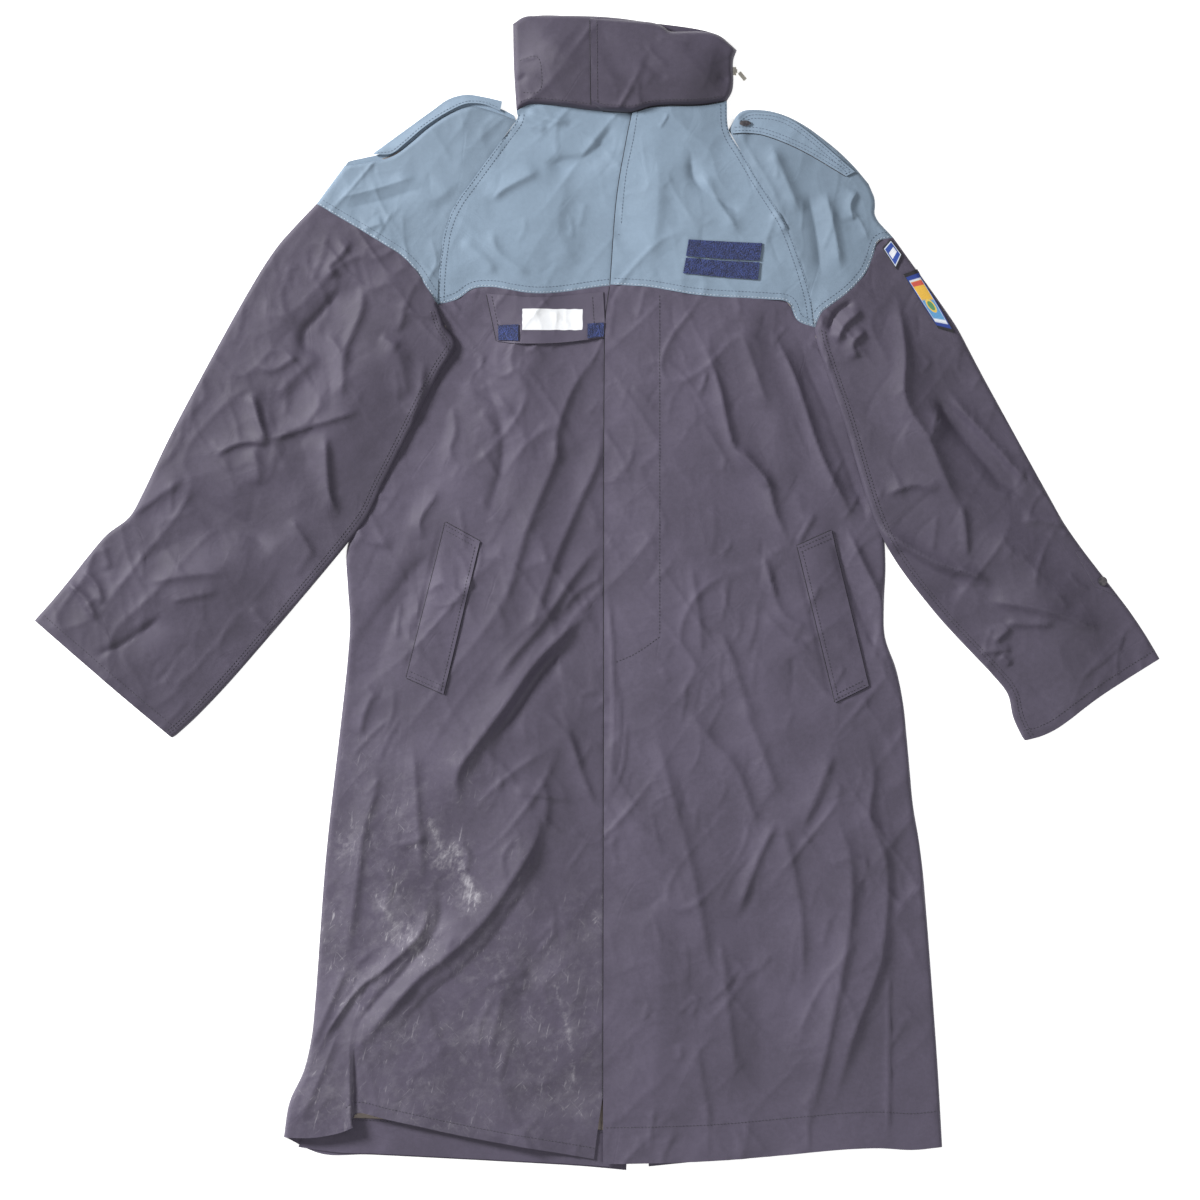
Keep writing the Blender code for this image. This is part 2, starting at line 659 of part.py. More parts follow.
def make_zip(slate, metal):
    """The hood's zip: its tape runs behind the collar, and its slider sits at the left end."""
    low, high = ZIP_Y - ZIP_TAPE_WIDTH / 2, ZIP_Y + ZIP_TAPE_WIDTH / 2
    foot = [(ZIP_TAPE_START, low), (ZIP_TAPE_END, low)]
    head = [(ZIP_TAPE_START, high), (ZIP_TAPE_END, high)]
    strip_between("hood_zip_tape", foot, head, (10, 2), (0.0, 0.0), TRIM_CLOTH, slate)

    start = ZIP_TAPE_END + SEAM_GAP
    length = ZIP_BRIDGE_X - start
    width, thick = ZIP_SLIDER
    mesh = bmesh.new()
    block(mesh, (length, width, thick), (start + length / 2, ZIP_Y, thick / 2))
    slider = add_object("hood_zip_slider", mesh, metal)
    bridge = bmesh.new()
    block(bridge, ZIP_BRIDGE, (ZIP_BRIDGE_X, ZIP_Y, ZIP_BRIDGE_AT + ZIP_BRIDGE[2] / 2))
    shape = add_object("bridge_shape", bridge, metal)
    shape.hide_render = True
    shape.display_type = "WIRE"
    union = slider.modifiers.new("Bridge", "BOOLEAN")
    union.operation = "UNION"
    union.object = shape

    length, width, thick = ZIP_PULL
    pull = bmesh.new()
    block(pull, (length, width, thick), (length / 2, 0, 0))
    turn = Matrix.Rotation(ZIP_PULL_ANGLE, 4, "Z")
    bmesh.ops.transform(pull, matrix=turn, verts=pull.verts)
    tab = add_object("hood_zip_pull", pull, metal)
    out, along, lift = ZIP_PULL_FROM_BRIDGE
    hinge = Vector((ZIP_BRIDGE_X + ZIP_BRIDGE[0] / 2 + out, ZIP_Y + along, lift + thick / 2))
    tab.location = hinge * MM


def centre_on_origin():
    """Puts the origin under the middle of the garment's box, on the table."""
    bpy.context.view_layer.update()
    things = [thing for thing in bpy.data.objects if thing.type == "MESH" and not thing.hide_render]
    corners = [thing.matrix_world @ Vector(corner) for thing in things for corner in thing.bound_box]
    middle_x = (min(c.x for c in corners) + max(c.x for c in corners)) / 2
    middle_y = (min(c.y for c in corners) + max(c.y for c in corners)) / 2
    for thing in bpy.data.objects:
        thing.location -= Vector((middle_x, middle_y, 0.0))


def make_coat():
    slate = finish_material("slate shell cloth", SLATE)
    sky = finish_material("sky blue shell cloth", SKY)
    metal = finish_material("zip metal", METAL, metallic=1.0)

    for name, piece, material in (
        ("back_right_body", BACK_RIGHT, slate),
        ("back_left_body", BACK_LEFT, slate),
        ("back_yoke", BACK_YOKE, sky),
    ):
        cut_piece(name, piece, lambda point: 0.0, material)
    strip_between(
        "back_hem_turn_up",
        TURN_UP_FOOT,
        TURN_UP_HEAD,
        TURN_UP_CELLS,
        (TURN_UP_AT, TURN_UP_AT),
        TURN_UP_CLOTH,
        slate,
    )

    cut_piece("front_right_body", BODY_RIGHT, right_front_height, slate)
    cut_piece("front_right_yoke", YOKE_RIGHT, right_front_height, sky)
    cut_piece("front_left_body", BODY_LEFT, left_front_height, slate)
    cut_piece("front_left_yoke", YOKE_LEFT, left_front_height, sky)

    for side, sleeve, cap, folds in (
        ("right", SLEEVE_RIGHT, CAP_RIGHT, FOLDS_SLEEVE_RIGHT),
        ("left", SLEEVE_LEFT, CAP_LEFT, FOLDS_SLEEVE_LEFT),
    ):
        cut_piece(f"sleeve_{side}_back", sleeve, sleeve_back_height(side), slate)
        cut_piece(f"sleeve_{side}_front", sleeve, sleeve_front_height(side, folds), slate)
        cut_piece(f"sleeve_{side}_cap_back", cap, sleeve_back_height(side), sky)
        cut_piece(f"sleeve_{side}_cap_front", cap, cap_front_height(side, folds), sky)

    cut_piece("collar_back", COLLAR_BACK, lambda point: COLLAR_BACK_AT, slate)
    cut_piece("collar_right", COLLAR_RIGHT, collar_height(0.0), slate, COLLAR_CLOTH)
    cut_piece("collar_left", COLLAR_LEFT, collar_height(COLLAR_LAP), slate, COLLAR_CLOTH)

    for name, trim in TRIMS.items():
        laid_trim(name, trim, finish_material(name, trim.finish))
    strip_between(
        "epaulette_right", STRAP_FOOT, STRAP_HEAD, STRAP_CELLS, STRAP_HEIGHTS, TRIM_CLOTH, sky
    )

    horn = finish_material("button", HORN)
    for name, button in BUTTONS.items():
        disc(name, button, horn)
    make_zip(slate, metal)
    centre_on_origin()


clear_scene()
make_coat()
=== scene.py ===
import json
import math
from collections import namedtuple

import bmesh
import bpy
import numpy as np
from mathutils import Matrix, Vector
from mathutils.bvhtree import BVHTree

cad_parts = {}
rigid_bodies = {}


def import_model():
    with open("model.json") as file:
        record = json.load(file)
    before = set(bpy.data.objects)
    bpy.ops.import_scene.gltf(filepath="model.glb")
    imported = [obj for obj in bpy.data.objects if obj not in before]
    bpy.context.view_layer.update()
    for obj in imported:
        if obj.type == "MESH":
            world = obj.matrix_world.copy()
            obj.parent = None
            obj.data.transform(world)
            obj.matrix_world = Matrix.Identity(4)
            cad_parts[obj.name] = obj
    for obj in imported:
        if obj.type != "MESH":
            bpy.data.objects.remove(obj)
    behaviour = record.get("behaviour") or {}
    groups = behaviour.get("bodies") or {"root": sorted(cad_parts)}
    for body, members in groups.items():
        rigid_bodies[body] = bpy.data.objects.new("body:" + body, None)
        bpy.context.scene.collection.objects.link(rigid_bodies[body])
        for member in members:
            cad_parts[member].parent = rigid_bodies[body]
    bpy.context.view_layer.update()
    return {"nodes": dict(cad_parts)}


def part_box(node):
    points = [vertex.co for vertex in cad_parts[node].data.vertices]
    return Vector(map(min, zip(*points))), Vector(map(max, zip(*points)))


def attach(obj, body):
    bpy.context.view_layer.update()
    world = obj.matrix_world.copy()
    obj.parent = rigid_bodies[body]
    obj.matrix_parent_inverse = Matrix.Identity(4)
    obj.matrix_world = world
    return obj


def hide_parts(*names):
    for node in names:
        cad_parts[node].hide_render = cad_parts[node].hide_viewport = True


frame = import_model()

bl_info = {
    "name": "Police raincoat, laid flat",
    "version": (1, 0, 0),
    "blender": (4, 5, 0),
    "location": "3D View > Sidebar > Raincoat",
    "description": "Finishes the cloth panels, trims and fittings of a two-tone police raincoat",
    "category": "Object",
}

MM = 0.001

# Tables are in millimetres of the laid-out garment: X from the edge of the front placket towards the
# wearer's left, Y upwards from the hem at that edge. This is where the left front's lowest corner lies.
ANCHOR_IN_GARMENT = Vector((0.15, 1.15))
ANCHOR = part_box("front_left_body")[0].xy / MM - ANCHOR_IN_GARMENT

# Points of a solid closer than this, in metres, are one point.
MERGE = 0.00001
# Thickness of the cloth in the solids.
CAD_CLOTH = 1.2
# Distances from a folded edge at which mesh lines run.
FOLD_STATIONS = (0.5, 1.3, 2.6, 4.4)
# Rays fall from here, and where nothing lies below a point its height is given as NOTHING.
SKY_HIGH = 1000.0
NOTHING = -100.0
DOWN = Vector((0, 0, -1))


def length_setting(name, description, millimetres):
    default = millimetres * MM
    return bpy.props.FloatProperty(name=name, description=description, default=default, unit="LENGTH")


def strength_setting(name, description):
    return bpy.props.FloatProperty(name=name, description=description, default=1.0, min=0.0)


def colour_setting(name, description, colour):
    return bpy.props.FloatVectorProperty(name=name, description=description, subtype="COLOR", default=colour)


class CoatSettings(bpy.types.PropertyGroup):
    """Sizes and colours of the raincoat."""

    cloth_thickness: length_setting("Cloth thickness", "Thickness of the shell cloth", 0.8)
    cell: length_setting("Cloth cell", "Size of a mesh cell on the fronts", 2.8)
    crease_depth: strength_setting("Crease depth", "How strongly the placed creases stand")
    crumple: strength_setting("Crumple", "How strongly the cloth is crumpled all over")
    stitch_length: length_setting("Stitch length", "Length of one stitch", 2.7)
    stitch_gap: length_setting("Stitch gap", "Gap between two stitches", 1.1)
    slate: colour_setting("Slate", "Shell cloth below the chest", (0.078, 0.066, 0.101))
    sky: colour_setting("Sky blue", "Yoke and sleeve cap cloth", (0.196, 0.262, 0.341))
    reverse: colour_setting("Reverse", "Coated inner side", (0.19, 0.16, 0.145))
    dust: colour_setting("Dust", "Dried dust and scuffs", (0.36, 0.345, 0.38))
    navy: colour_setting("Navy pile", "Loop tape", (0.018, 0.03, 0.115))
    pale_thread: colour_setting("Pale thread", "Topstitching of the yokes", (0.50, 0.56, 0.64))
    slate_thread: colour_setting("Slate thread", "Topstitching below the chest", (0.022, 0.018, 0.034))
    dark_thread: colour_setting("Dark thread", "Topstitching of the placket and straps", (0.05, 0.075, 0.12))
    floor: colour_setting("Floor", "Studio floor", (0.9, 0.9, 0.9))


# ---------------------------------------------------------------------------------------------------
# Shader maths
# ---------------------------------------------------------------------------------------------------


class Number:
    """A number in a material. Sums written with it add their Math nodes."""

    def __init__(self, finish, socket):
        self.finish = finish
        self.socket = socket

    def maths(self, operation, *others):
        values = dict(enumerate((self, *others)))
        return self.finish.number("ShaderNodeMath", {"operation": operation}, values)

    def __add__(self, other):
        return self.maths("ADD", other)

    def __sub__(self, other):
        return self.maths("SUBTRACT", other)

    def __rsub__(self, other):
        return (self * -1.0).maths("ADD", other)

    def __mul__(self, other):
        return self.maths("MULTIPLY", other)

    def __pow__(self, other):
        return self.maths("POWER", other)

    def __abs__(self):
        return self.maths("ABSOLUTE")

    def sine(self):
        return self.maths("SINE")

    def between(self, low, high):
        """Rises from 0 to 1 as the number goes from low to high."""
        settings = {"interpolation_type": "SMOOTHSTEP"}
        return self.finish.number("ShaderNodeMapRange", settings, {0: self, 1: low, 2: high})


class Finish:
    """A material made of nodes."""

    def __init__(self, name):
        self.material = bpy.data.materials.new(name)
        self.material.use_nodes = True
        self.tree = self.material.node_tree
        self.shader = self.tree.nodes["Principled BSDF"]

    def node(self, kind, settings=None, inputs=None):
        made = self.tree.nodes.new(kind)
        for name, value in (settings or {}).items():
            setattr(made, name, value)
        for key, value in (inputs or {}).items():
            self.feed(made.inputs[key], value)
        return made

    def feed(self, socket, value):
        if isinstance(value, Number):
            value = value.socket
        if isinstance(value, bpy.types.NodeSocket):
            self.tree.links.new(value, socket)
        elif socket.type == "RGBA":
            socket.default_value = (*value, 1.0)
        else:
            socket.default_value = value

    def number(self, kind, settings=None, inputs=None, output=0):
        return Number(self, self.node(kind, settings, inputs).outputs[output])

    def place(self, turn=0.0, stretch=1.0):
        """Points of the piece in metres. A pattern on them is turned about Z and drawn out along its X."""
        coordinates = self.node("ShaderNodeTexCoord").outputs["Object"]
        inputs = {"Vector": coordinates, "Rotation": (0.0, 0.0, turn), "Scale": (stretch, 1.0, 1.0)}
        return self.node("ShaderNodeMapping", {"vector_type": "TEXTURE"}, inputs).outputs[0]

    def noise(self, size, turn=0.0, stretch=1.0, detail=2.0, rough=0.5):
        """Soft noise from 0 to 1 with lumps of a size in millimetres."""
        inputs = {
            "Vector": self.place(turn, stretch),
            "Scale": 1.0 / (size * MM),
            "Detail": detail,
            "Roughness": rough,
        }
        return self.number("ShaderNodeTexNoise", None, inputs)

    def attribute(self, name):
        return self.number("ShaderNodeAttribute", {"attribute_name": name}, None, "Fac")

    def mix(self, factor, first, second):
        """A colour between two colours."""
        settings = {"data_type": "RGBA"}
        return self.node("ShaderNodeMix", settings, {0: factor, 6: first, 7: second}).outputs[2]

    def bump(self, height, distance, strength=1.0):
        inputs = {"Height": height, "Distance": distance * MM, "Strength": strength}
        normal = self.node("ShaderNodeBump", None, inputs).outputs[0]
        self.feed(self.shader.inputs["Normal"], normal)

    def set(self, **values):
        for name, value in values.items():
            self.feed(self.shader.inputs[name.replace("_", " ")], value)


def tint(colour, amount):
    return tuple(channel * amount for channel in colour)


def weave(finish, pitch, turn):
    """Warp over weft: a fine chequer of rounded threads."""
    step = 2.0 * math.pi / (pitch * MM)
    parts = finish.node("ShaderNodeSeparateXYZ", None, {0: finish.place(turn)}).outputs
    x, y = (Number(finish, part) * step for part in parts[:2])
    return x.sine() * y.sine()


def dusted(finish, tone, colour):
    """A tone under dried dust, with a haze, streaks three ways and thick patches, and how much dust lies."""
    cover = finish.attribute("dust")
    smear = finish.noise(30.0, 1.0, 1.5, 6.0, 0.66)
    cloud = finish.noise(11.0, 0.4, 1.2, 6.0, 0.7)
    down = finish.noise(3.2, 1.35, 7.0, 4.0, 0.62)
    slant = finish.noise(3.0, 0.75, 8.0, 4.0, 0.62)
    cross = finish.noise(3.0, 2.3, 8.0, 4.0, 0.62)
    scratch = down.between(0.60, 0.72) + slant.between(0.62, 0.74) * 0.8 + cross.between(0.62, 0.74) * 0.6
    haze = smear.between(0.42, 0.68) * 0.11 + cloud.between(0.45, 0.75) * 0.16
    streaks = scratch * smear.between(0.38, 0.58) * 0.62
    thick = (cloud * 0.5 + down * 0.3 + slant * 0.25 + cover * 0.22).between(0.60, 0.90)
    amount = (haze + streaks) * cover.between(0.0, 0.55) + thick * cover.between(0.45, 0.95) * 0.8
    amount = amount.maths("MINIMUM", 0.85)
    return finish.mix(amount, tone, colour), amount


def cloth_finish(name, colour, turn=0.0, dusty=False, patchy=0.16, roughness=0.62, inner_shows=False):
    """Coated plain-weave cloth: a fine weave, patchy dye and small creases."""
    settings = bpy.context.scene.coat_settings
    finish = Finish(name)
    patches = finish.noise(70.0, detail=3.0)
    specks = finish.noise(5.0, turn, detail=3.0, rough=0.7)
    grain = weave(finish, 1.1, turn)
    shade = patches * 0.6 + specks * 0.4
    tone = finish.mix(shade.between(0.3, 0.7), tint(colour, 1.0 - patchy), tint(colour, 1.0 + patchy))
    tone = finish.mix(grain.between(-0.6, 0.6) * 0.16, tone, tint(colour, 0.75))
    rough = patches * 0.12 + specks * 0.10 + (roughness - 0.11)
    if inner_shows:
        # Where the coated inner side shows, its reverse colour is painted 1.7 times paler: painted light
        # that lifts the shade cast on it by the front's hem.
        inner = tint(tuple(settings.reverse), 1.7)
        tone = finish.mix(finish.attribute("mark").between(0.3, 0.7), tone, inner)
    if dusty:
        tone, amount = dusted(finish, tone, tuple(settings.dust))
        rough = rough + amount * 0.2
    long = abs(finish.noise(60.0, turn + 0.9, 2.2, 1.0) - 0.5)
    cross = abs(finish.noise(38.0, turn - 0.5, 2.0, 1.0) - 0.5)
    here = finish.noise(45.0, turn).between(0.46, 0.62)
    lines = (1.0 - long.between(0.0, 0.018)) * here + (1.0 - cross.between(0.0, 0.024)) * (1.0 - here) * 0.6
    finish.set(Base_Color=tone, Roughness=rough)
    finish.set(Sheen_Weight=0.10, Sheen_Roughness=0.45, Specular_IOR_Level=0.38)
    small = abs(finish.noise(17.0, turn + 0.3, 2.0, 1.0) - 0.5) * finish.noise(80.0, turn).between(0.45, 0.6)
    fold = long * -4.0 + cross * -2.4 + small * -1.1
    finish.bump(fold - lines * 0.16 + specks * 0.10 + grain * 0.04, 1.0, 0.9)
    return finish.material


def plain_cloth_finish(name, colour, pitch=0.8, roughness=0.75):
    finish = Finish(name)
    blotch = finish.noise(9.0, detail=3.0)
    grain = weave(finish, pitch, 0.3)
    tone = finish.mix(blotch.between(0.3, 0.7), tint(colour, 0.8), tint(colour, 1.2))
    finish.set(Base_Color=tone, Roughness=blotch * 0.1 + (roughness - 0.05), Sheen_Weight=0.2)
    finish.bump(grain * 0.5 + blotch, 0.15)
    return finish.material


def flap_finish(name, colour):
    """Shell cloth with a plain reflective bar printed on it."""
    finish = Finish(name)
    bar = finish.attribute("mark").between(0.35, 0.65)
    patches = finish.noise(14.0, detail=3.0)
    cloth = finish.mix(patches, tint(colour, 0.85), tint(colour, 1.12))
    print_tone = finish.mix(patches, (0.72, 0.74, 0.77), (0.86, 0.87, 0.89))
    finish.set(Base_Color=finish.mix(bar, cloth, print_tone), Roughness=patches * 0.1 + 0.5)
    finish.bump(weave(finish, 1.1, 0.0) * 0.05 + patches * 0.1, 1.0)
    return finish.material


def layered(finish, tone, inside, outside):
    """Lays fields of colour over a tone: some below a limit of their number, some above it."""
    for number, low, high, colour in inside:
        tone = finish.mix(number.between(low, high), colour, tone)
    for number, low, high, colour in outside:
        tone = finish.mix(number.between(low, high), tone, colour)
    return tone


def embroidered(finish, tone, shading):
    """Stitched threads over a tone, with darker gaps between them."""
    threads = finish.noise(1.2, 0.6, 3.0, 2.0)
    tone = finish.mix(threads * shading, tone, (0.02, 0.02, 0.03))
    finish.set(Base_Color=tone, Roughness=threads * 0.2 + 0.5)
    finish.bump(threads, 0.2)
    return finish.material


def shield_finish(name):
    """An invented shield: a gold field over pale blue with a green disc, in a blue and black border."""
    finish = Finish(name)
    across, up = finish.attribute("across"), finish.attribute("up")
    rim = abs(across - 0.5).maths("MAXIMUM", abs(up - 0.5) + 0.02)
    x, y = across - 0.5, (up - 0.42) * 2.2
    disc = (x * x + y * y) ** 0.5
    fields = (
        (abs(up - 0.80), 0.030, 0.045, (0.55, 0.08, 0.05)),
        (disc, 0.24, 0.27, (0.72, 0.50, 0.08)),
        (disc, 0.16, 0.19, (0.09, 0.26, 0.12)),
        (up, 0.17, 0.21, (0.75, 0.77, 0.80)),
    )
    borders = (
        (rim, 0.355, 0.375, (0.60, 0.64, 0.72)),
        (rim, 0.385, 0.405, (0.012, 0.04, 0.25)),
        (rim, 0.455, 0.470, (0.012, 0.011, 0.014)),
    )
    ground = finish.mix(up.between(0.50, 0.54), (0.10, 0.30, 0.55), (0.70, 0.42, 0.05))
    return embroidered(finish, layered(finish, ground, fields, borders), 0.25)


def arc_finish(name):
    """A blue tab with a pale border and a plain pale bar."""
    finish = Finish(name)
    across, up = finish.attribute("across"), finish.attribute("up")
    rim = abs(across - 0.5).maths("MAXIMUM", abs(up - 0.5))
    bar = (abs(across - 0.5) * 0.9).maths("MAXIMUM", abs(up - 0.5) * 1.8)
    borders = (
        (rim, 0.37, 0.39, (0.55, 0.60, 0.68)),
        (rim, 0.42, 0.44, (0.012, 0.011, 0.014)),
    )
    ground = finish.mix(bar.between(0.25, 0.28), (0.66, 0.68, 0.72), (0.02, 0.06, 0.30))
    return embroidered(finish, layered(finish, ground, (), borders), 0.0)


def pile_finish(name, colour):
    """Loop pile: tight curls with painted highlights at their tips, over patchy matting."""
    finish = Finish(name)
    curls = finish.number(
        "ShaderNodeTexVoronoi", {"feature": "F1"}, {"Vector": finish.place(), "Scale": 1.0 / (1.5 * MM)}
    )
    matting = finish.noise(6.0, detail=4.0, rough=0.7)
    # Lighter colour at the curl tips is a painted highlight; the matting is patchy tone.
    tip_highlight_and_matting = (1.0 - curls) * 0.5 + matting * 0.6
    tone = finish.mix(tip_highlight_and_matting.between(0.35, 0.95), tint(colour, 0.45), tint(colour, 2.4))
    finish.set(Base_Color=tone, Roughness=0.95, Sheen_Weight=0.5, Sheen_Roughness=0.5)
    finish.bump((1.0 - curls) + matting, 1.0)
    return finish.material


def thread_finish(name, colour):
    finish = Finish(name)
    ply = finish.noise(0.8, 0.7, 4.0)
    tone = finish.mix(ply, tint(colour, 0.7), tint(colour, 1.2))
    finish.set(Base_Color=tone, Roughness=0.6, Sheen_Weight=0.3)
    finish.bump(ply, 0.1)
    return finish.material


def metal_finish(name):
    finish = Finish(name)
    wear = finish.noise(1.6, detail=4.0, rough=0.7)
    scratch = finish.noise(0.7, 0.8, 8.0, 3.0)
    tone = finish.mix(wear.between(0.4, 0.7), (0.78, 0.75, 0.68), (0.48, 0.44, 0.36))
    finish.set(Base_Color=tone, Metallic=1.0, Roughness=wear * 0.25 + scratch * 0.15 + 0.15)
    finish.bump(scratch, 0.04)
    return finish.material


def horn_finish(name):
    finish = Finish(name)
    swirl = finish.noise(3.5, detail=4.0)
    tone = finish.mix(swirl.between(0.4, 0.65), (0.030, 0.028, 0.034), (0.075, 0.068, 0.075))
    finish.set(Base_Color=tone, Roughness=swirl * 0.15 + 0.25, Coat_Weight=0.2)
    finish.bump(swirl, 0.05)
    return finish.material


def floor_finish(name, colour):
    finish = Finish(name)
    dapple = finish.noise(400.0, detail=2.0)
    tone = finish.mix(dapple, tint(colour, 0.99), tint(colour, 1.01))
    finish.set(Base_Color=tone, Roughness=0.9, Specular_IOR_Level=0.1)
    finish.set(Emission_Color=(1.0, 1.0, 1.0), Emission_Strength=FLOOR_GLOW)
    return finish.material


# ---------------------------------------------------------------------------------------------------
# Lines, folds and panels
# ---------------------------------------------------------------------------------------------------


def to_world(points, heights):
    """Garment millimetres and heights in millimetres, as metres in the frame."""
    flat = points + np.array(ANCHOR)
    return np.column_stack([flat, heights]) * MM


def smooth_line(points, steps=10):
    """Fine points along a Catmull-Rom curve."""
    knots = np.array(points, float)
    ends = np.vstack([2 * knots[0] - knots[1], knots, 2 * knots[-1] - knots[-2]])
    t = np.linspace(0.0, 1.0, steps, endpoint=False)[:, None]
    runs = []
    for before, start, stop, after in zip(ends, ends[1:], ends[2:], ends[3:]):
        cubic = 3 * start - before - 3 * stop + after
        square = 2 * before - 5 * start + 4 * stop - after
        runs.append(0.5 * (2 * start + (stop - before) * t + square * t**2 + cubic * t**3))
    return np.vstack([*runs, knots[-1:]])


def lengths_along(line):
    return np.concatenate([[0.0], np.cumsum(np.linalg.norm(np.diff(line, axis=0), axis=1))])


def points_at(line, shares):
    """Points at shares of a line's length."""
    along = lengths_along(line)
    wanted = np.asarray(shares) * along[-1]
    return np.column_stack([np.interp(wanted, along, line[:, axis]) for axis in range(line.shape[1])])


def nearest_on_line(points, line):
    """Distance of each point to a line, its share along it, and how far it faces the long slope."""
    along = lengths_along(line)
    best = np.full(len(points), np.inf)
    share = np.zeros(len(points))
    facing = np.zeros(len(points))
    for index, (start, stop) in enumerate(zip(line, line[1:])):
        span = stop - start
        size = max(1e-9, span @ span)
        part = np.clip(((points - start) @ span) / size, 0.0, 1.0)
        off = points - start - part[:, None] * span
        reach = np.hypot(off[:, 0], off[:, 1])
        closer = reach < best
        best[closer] = reach[closer]
        share[closer] = (along[index] + part[closer] * math.sqrt(size)) / along[-1]
        facing[closer] = off[closer] @ LONG_SLOPE / (reach[closer] + CREST_HALF)
    return best, share, facing


def smooth_step(value, low, high):
    part = np.clip((value - low) / (high - low), 0.0, 1.0)
    return part * part * (3.0 - 2.0 * part)


def rolling_noise(points, size, seed, turn=0.0, stretch=1.0):
    """Value noise between -1 and 1 with lumps of the given size."""
    table = np.random.default_rng(seed).uniform(-1.0, 1.0, (NOISE_SIZE, NOISE_SIZE))
    cos, sin = math.cos(turn), math.sin(turn)
    u = (points[:, 0] * cos + points[:, 1] * sin) / size
    v = (points[:, 1] * cos - points[:, 0] * sin) / (size * stretch)
    i, j = np.floor(u).astype(int), np.floor(v).astype(int)
    fu, fv = u - i, v - j
    fu, fv = fu * fu * (3 - 2 * fu), fv * fv * (3 - 2 * fv)
    i, j, i1, j1 = (index % NOISE_SIZE for index in (i, j, i + 1, j + 1))
    low = table[i, j] * (1 - fu) + table[i1, j] * fu
    high = table[i, j1] * (1 - fu) + table[i1, j1] * fu
    return low * (1 - fv) + high * fv


# A placed crease: its height (a trough below nought) and width in mm, how sharp its crest is from 0 to 1,
# and its path. The cloth was drawn down and to the wearer's left, so every crease has a long slope on one
# side and a steep one on the other.
# Share of its path over which a crease fades at each end, its reach in widths and half the width of the
# crest itself.
CREASE_TAIL = 0.22
CREASE_REACH = 3.0
CREST_HALF = 0.5
LONG_SLOPE = np.array([-0.75, 0.66])
SLOPE_MIDDLE = 0.95
SLOPE_SWING = 0.45
SHARPENING = 0.65
# Small creases: the ways they run and how far they stray from them, in radians, the spread of their half
# lengths, bows, heights and widths, and how many lie on 1000 square millimetres of fully crumpled cloth.
SMALL_WAYS = (0.95, 1.15, 1.45, 1.75, 2.2)
SMALL_STRAY = 0.22
SMALL_HALF = (8.0, 34.0)
SMALL_BOW = 0.12
SMALL_HEIGHT = (0.35, 1.5)
SMALL_SIGNS = (-0.6, 1.0, 1.0)
SMALL_WIDTH = (2.6, 6.5)
SMALL_SHARP = 0.85
SMALL_DENSITY = 0.55
# Ridges of the crumple: size, turn, stretch, sharpness and height.
CRUMPLE_RIDGES = ((42.0, -0.7, 2.6, 7, 2.2), (34.0, 0.6, 2.4, 7, 1.6), (17.0, 0.2, 2.0, 5, 0.5))
NOISE_SIZE = 64


def crease_heights(points, creases):
    total = np.zeros(len(points))
    for height, width, sharp, path in creases:
        line = smooth_line(path, 6)
        reach = width * CREASE_REACH
        low, high = line.min(0) - reach, line.max(0) + reach
        inside = np.flatnonzero(np.all((points > low) & (points < high), axis=1))
        if not len(inside):
            continue
        distance, share, facing = nearest_on_line(points[inside], line)
        part = distance / (width * (SLOPE_MIDDLE + SLOPE_SWING * facing * math.copysign(1.0, height)))
        sharp = sharp**SHARPENING
        form = (1.0 - sharp) * np.exp(-part * part) + sharp * np.exp(-1.6 * part)
        form *= smooth_step(CREASE_REACH - part, 0.0, 1.0)
        tail = smooth_step(np.minimum(share, 1.0 - share), -0.02, CREASE_TAIL)
        total[inside] += height * form * tail
    return total


def small_creases(points, seed, density):
    """Short creases scattered over a panel, most of them along the way the cloth was drawn."""
    chance = np.random.default_rng(seed + 100)
    low, high = points.min(0), points.max(0)
    scattered = []
    for _ in range(int(density * np.prod(high - low) / 1000.0)):
        middle = chance.uniform(low, high)
        way = chance.choice(SMALL_WAYS) + chance.normal(0.0, SMALL_STRAY)
        step = chance.uniform(*SMALL_HALF) * np.array([math.cos(way), math.sin(way)])
        bow = chance.normal(0.0, SMALL_BOW) * np.array([-step[1], step[0]])
        height = chance.uniform(*SMALL_HEIGHT) * chance.choice(SMALL_SIGNS)
        path = [middle - step, middle + bow, middle + step]
        scattered.append((height, chance.uniform(*SMALL_WIDTH), SMALL_SHARP, path))
    return scattered


def crumple_heights(points, seed):
    """Irregular shallow dents and short sharp ridges all over."""
    dents = rolling_noise(points, 60.0, seed, 0.5, 1.6)
    where = smooth_step(rolling_noise(points, 90.0, seed + 4), -0.3, 0.6)
    ridges = 0.0
    for step, (size, turn, stretch, power, height) in enumerate(CRUMPLE_RIDGES, 1):
        lumps = 1.0 - np.abs(rolling_noise(points, size, seed + step, turn, stretch))
        ridges = ridges + height * lumps**power
    return 0.9 * dents + ridges * (0.25 + 0.75 * where)


def to_garment(mesh):
    """Turns a mesh in the frame's metres into garment millimetres."""
    bmesh.ops.scale(mesh, verts=mesh.verts, vec=(1.0 / MM,) * 3)
    bmesh.ops.translate(mesh, verts=mesh.verts, vec=(-ANCHOR.x, -ANCHOR.y, 0.0))
    return mesh


def upper_skin(node):
    """A copy of the upper side of a CAD solid, in garment millimetres."""
    mesh = bmesh.new()
    mesh.from_mesh(frame["nodes"][node].data)
    bmesh.ops.remove_doubles(mesh, verts=mesh.verts, dist=MERGE)
    mesh.normal_update()
    lower = [face for face in mesh.faces if face.normal.z < 0.3]
    bmesh.ops.delete(mesh, geom=lower, context="FACES")
    return to_garment(mesh)


def outline(mesh):
    """The rim of an open skin, anticlockwise from above."""
    follows = {}
    for edge in mesh.edges:
        if edge.is_boundary:
            loop = edge.link_loops[0]
            follows[loop.vert] = loop.link_loop_next.vert
    start = min(follows, key=lambda vertex: (vertex.co.x, vertex.co.y))
    rim = [start]
    while follows[rim[-1]] != start:
        rim.append(follows[rim[-1]])
    return np.array([vertex.co.xy for vertex in rim])


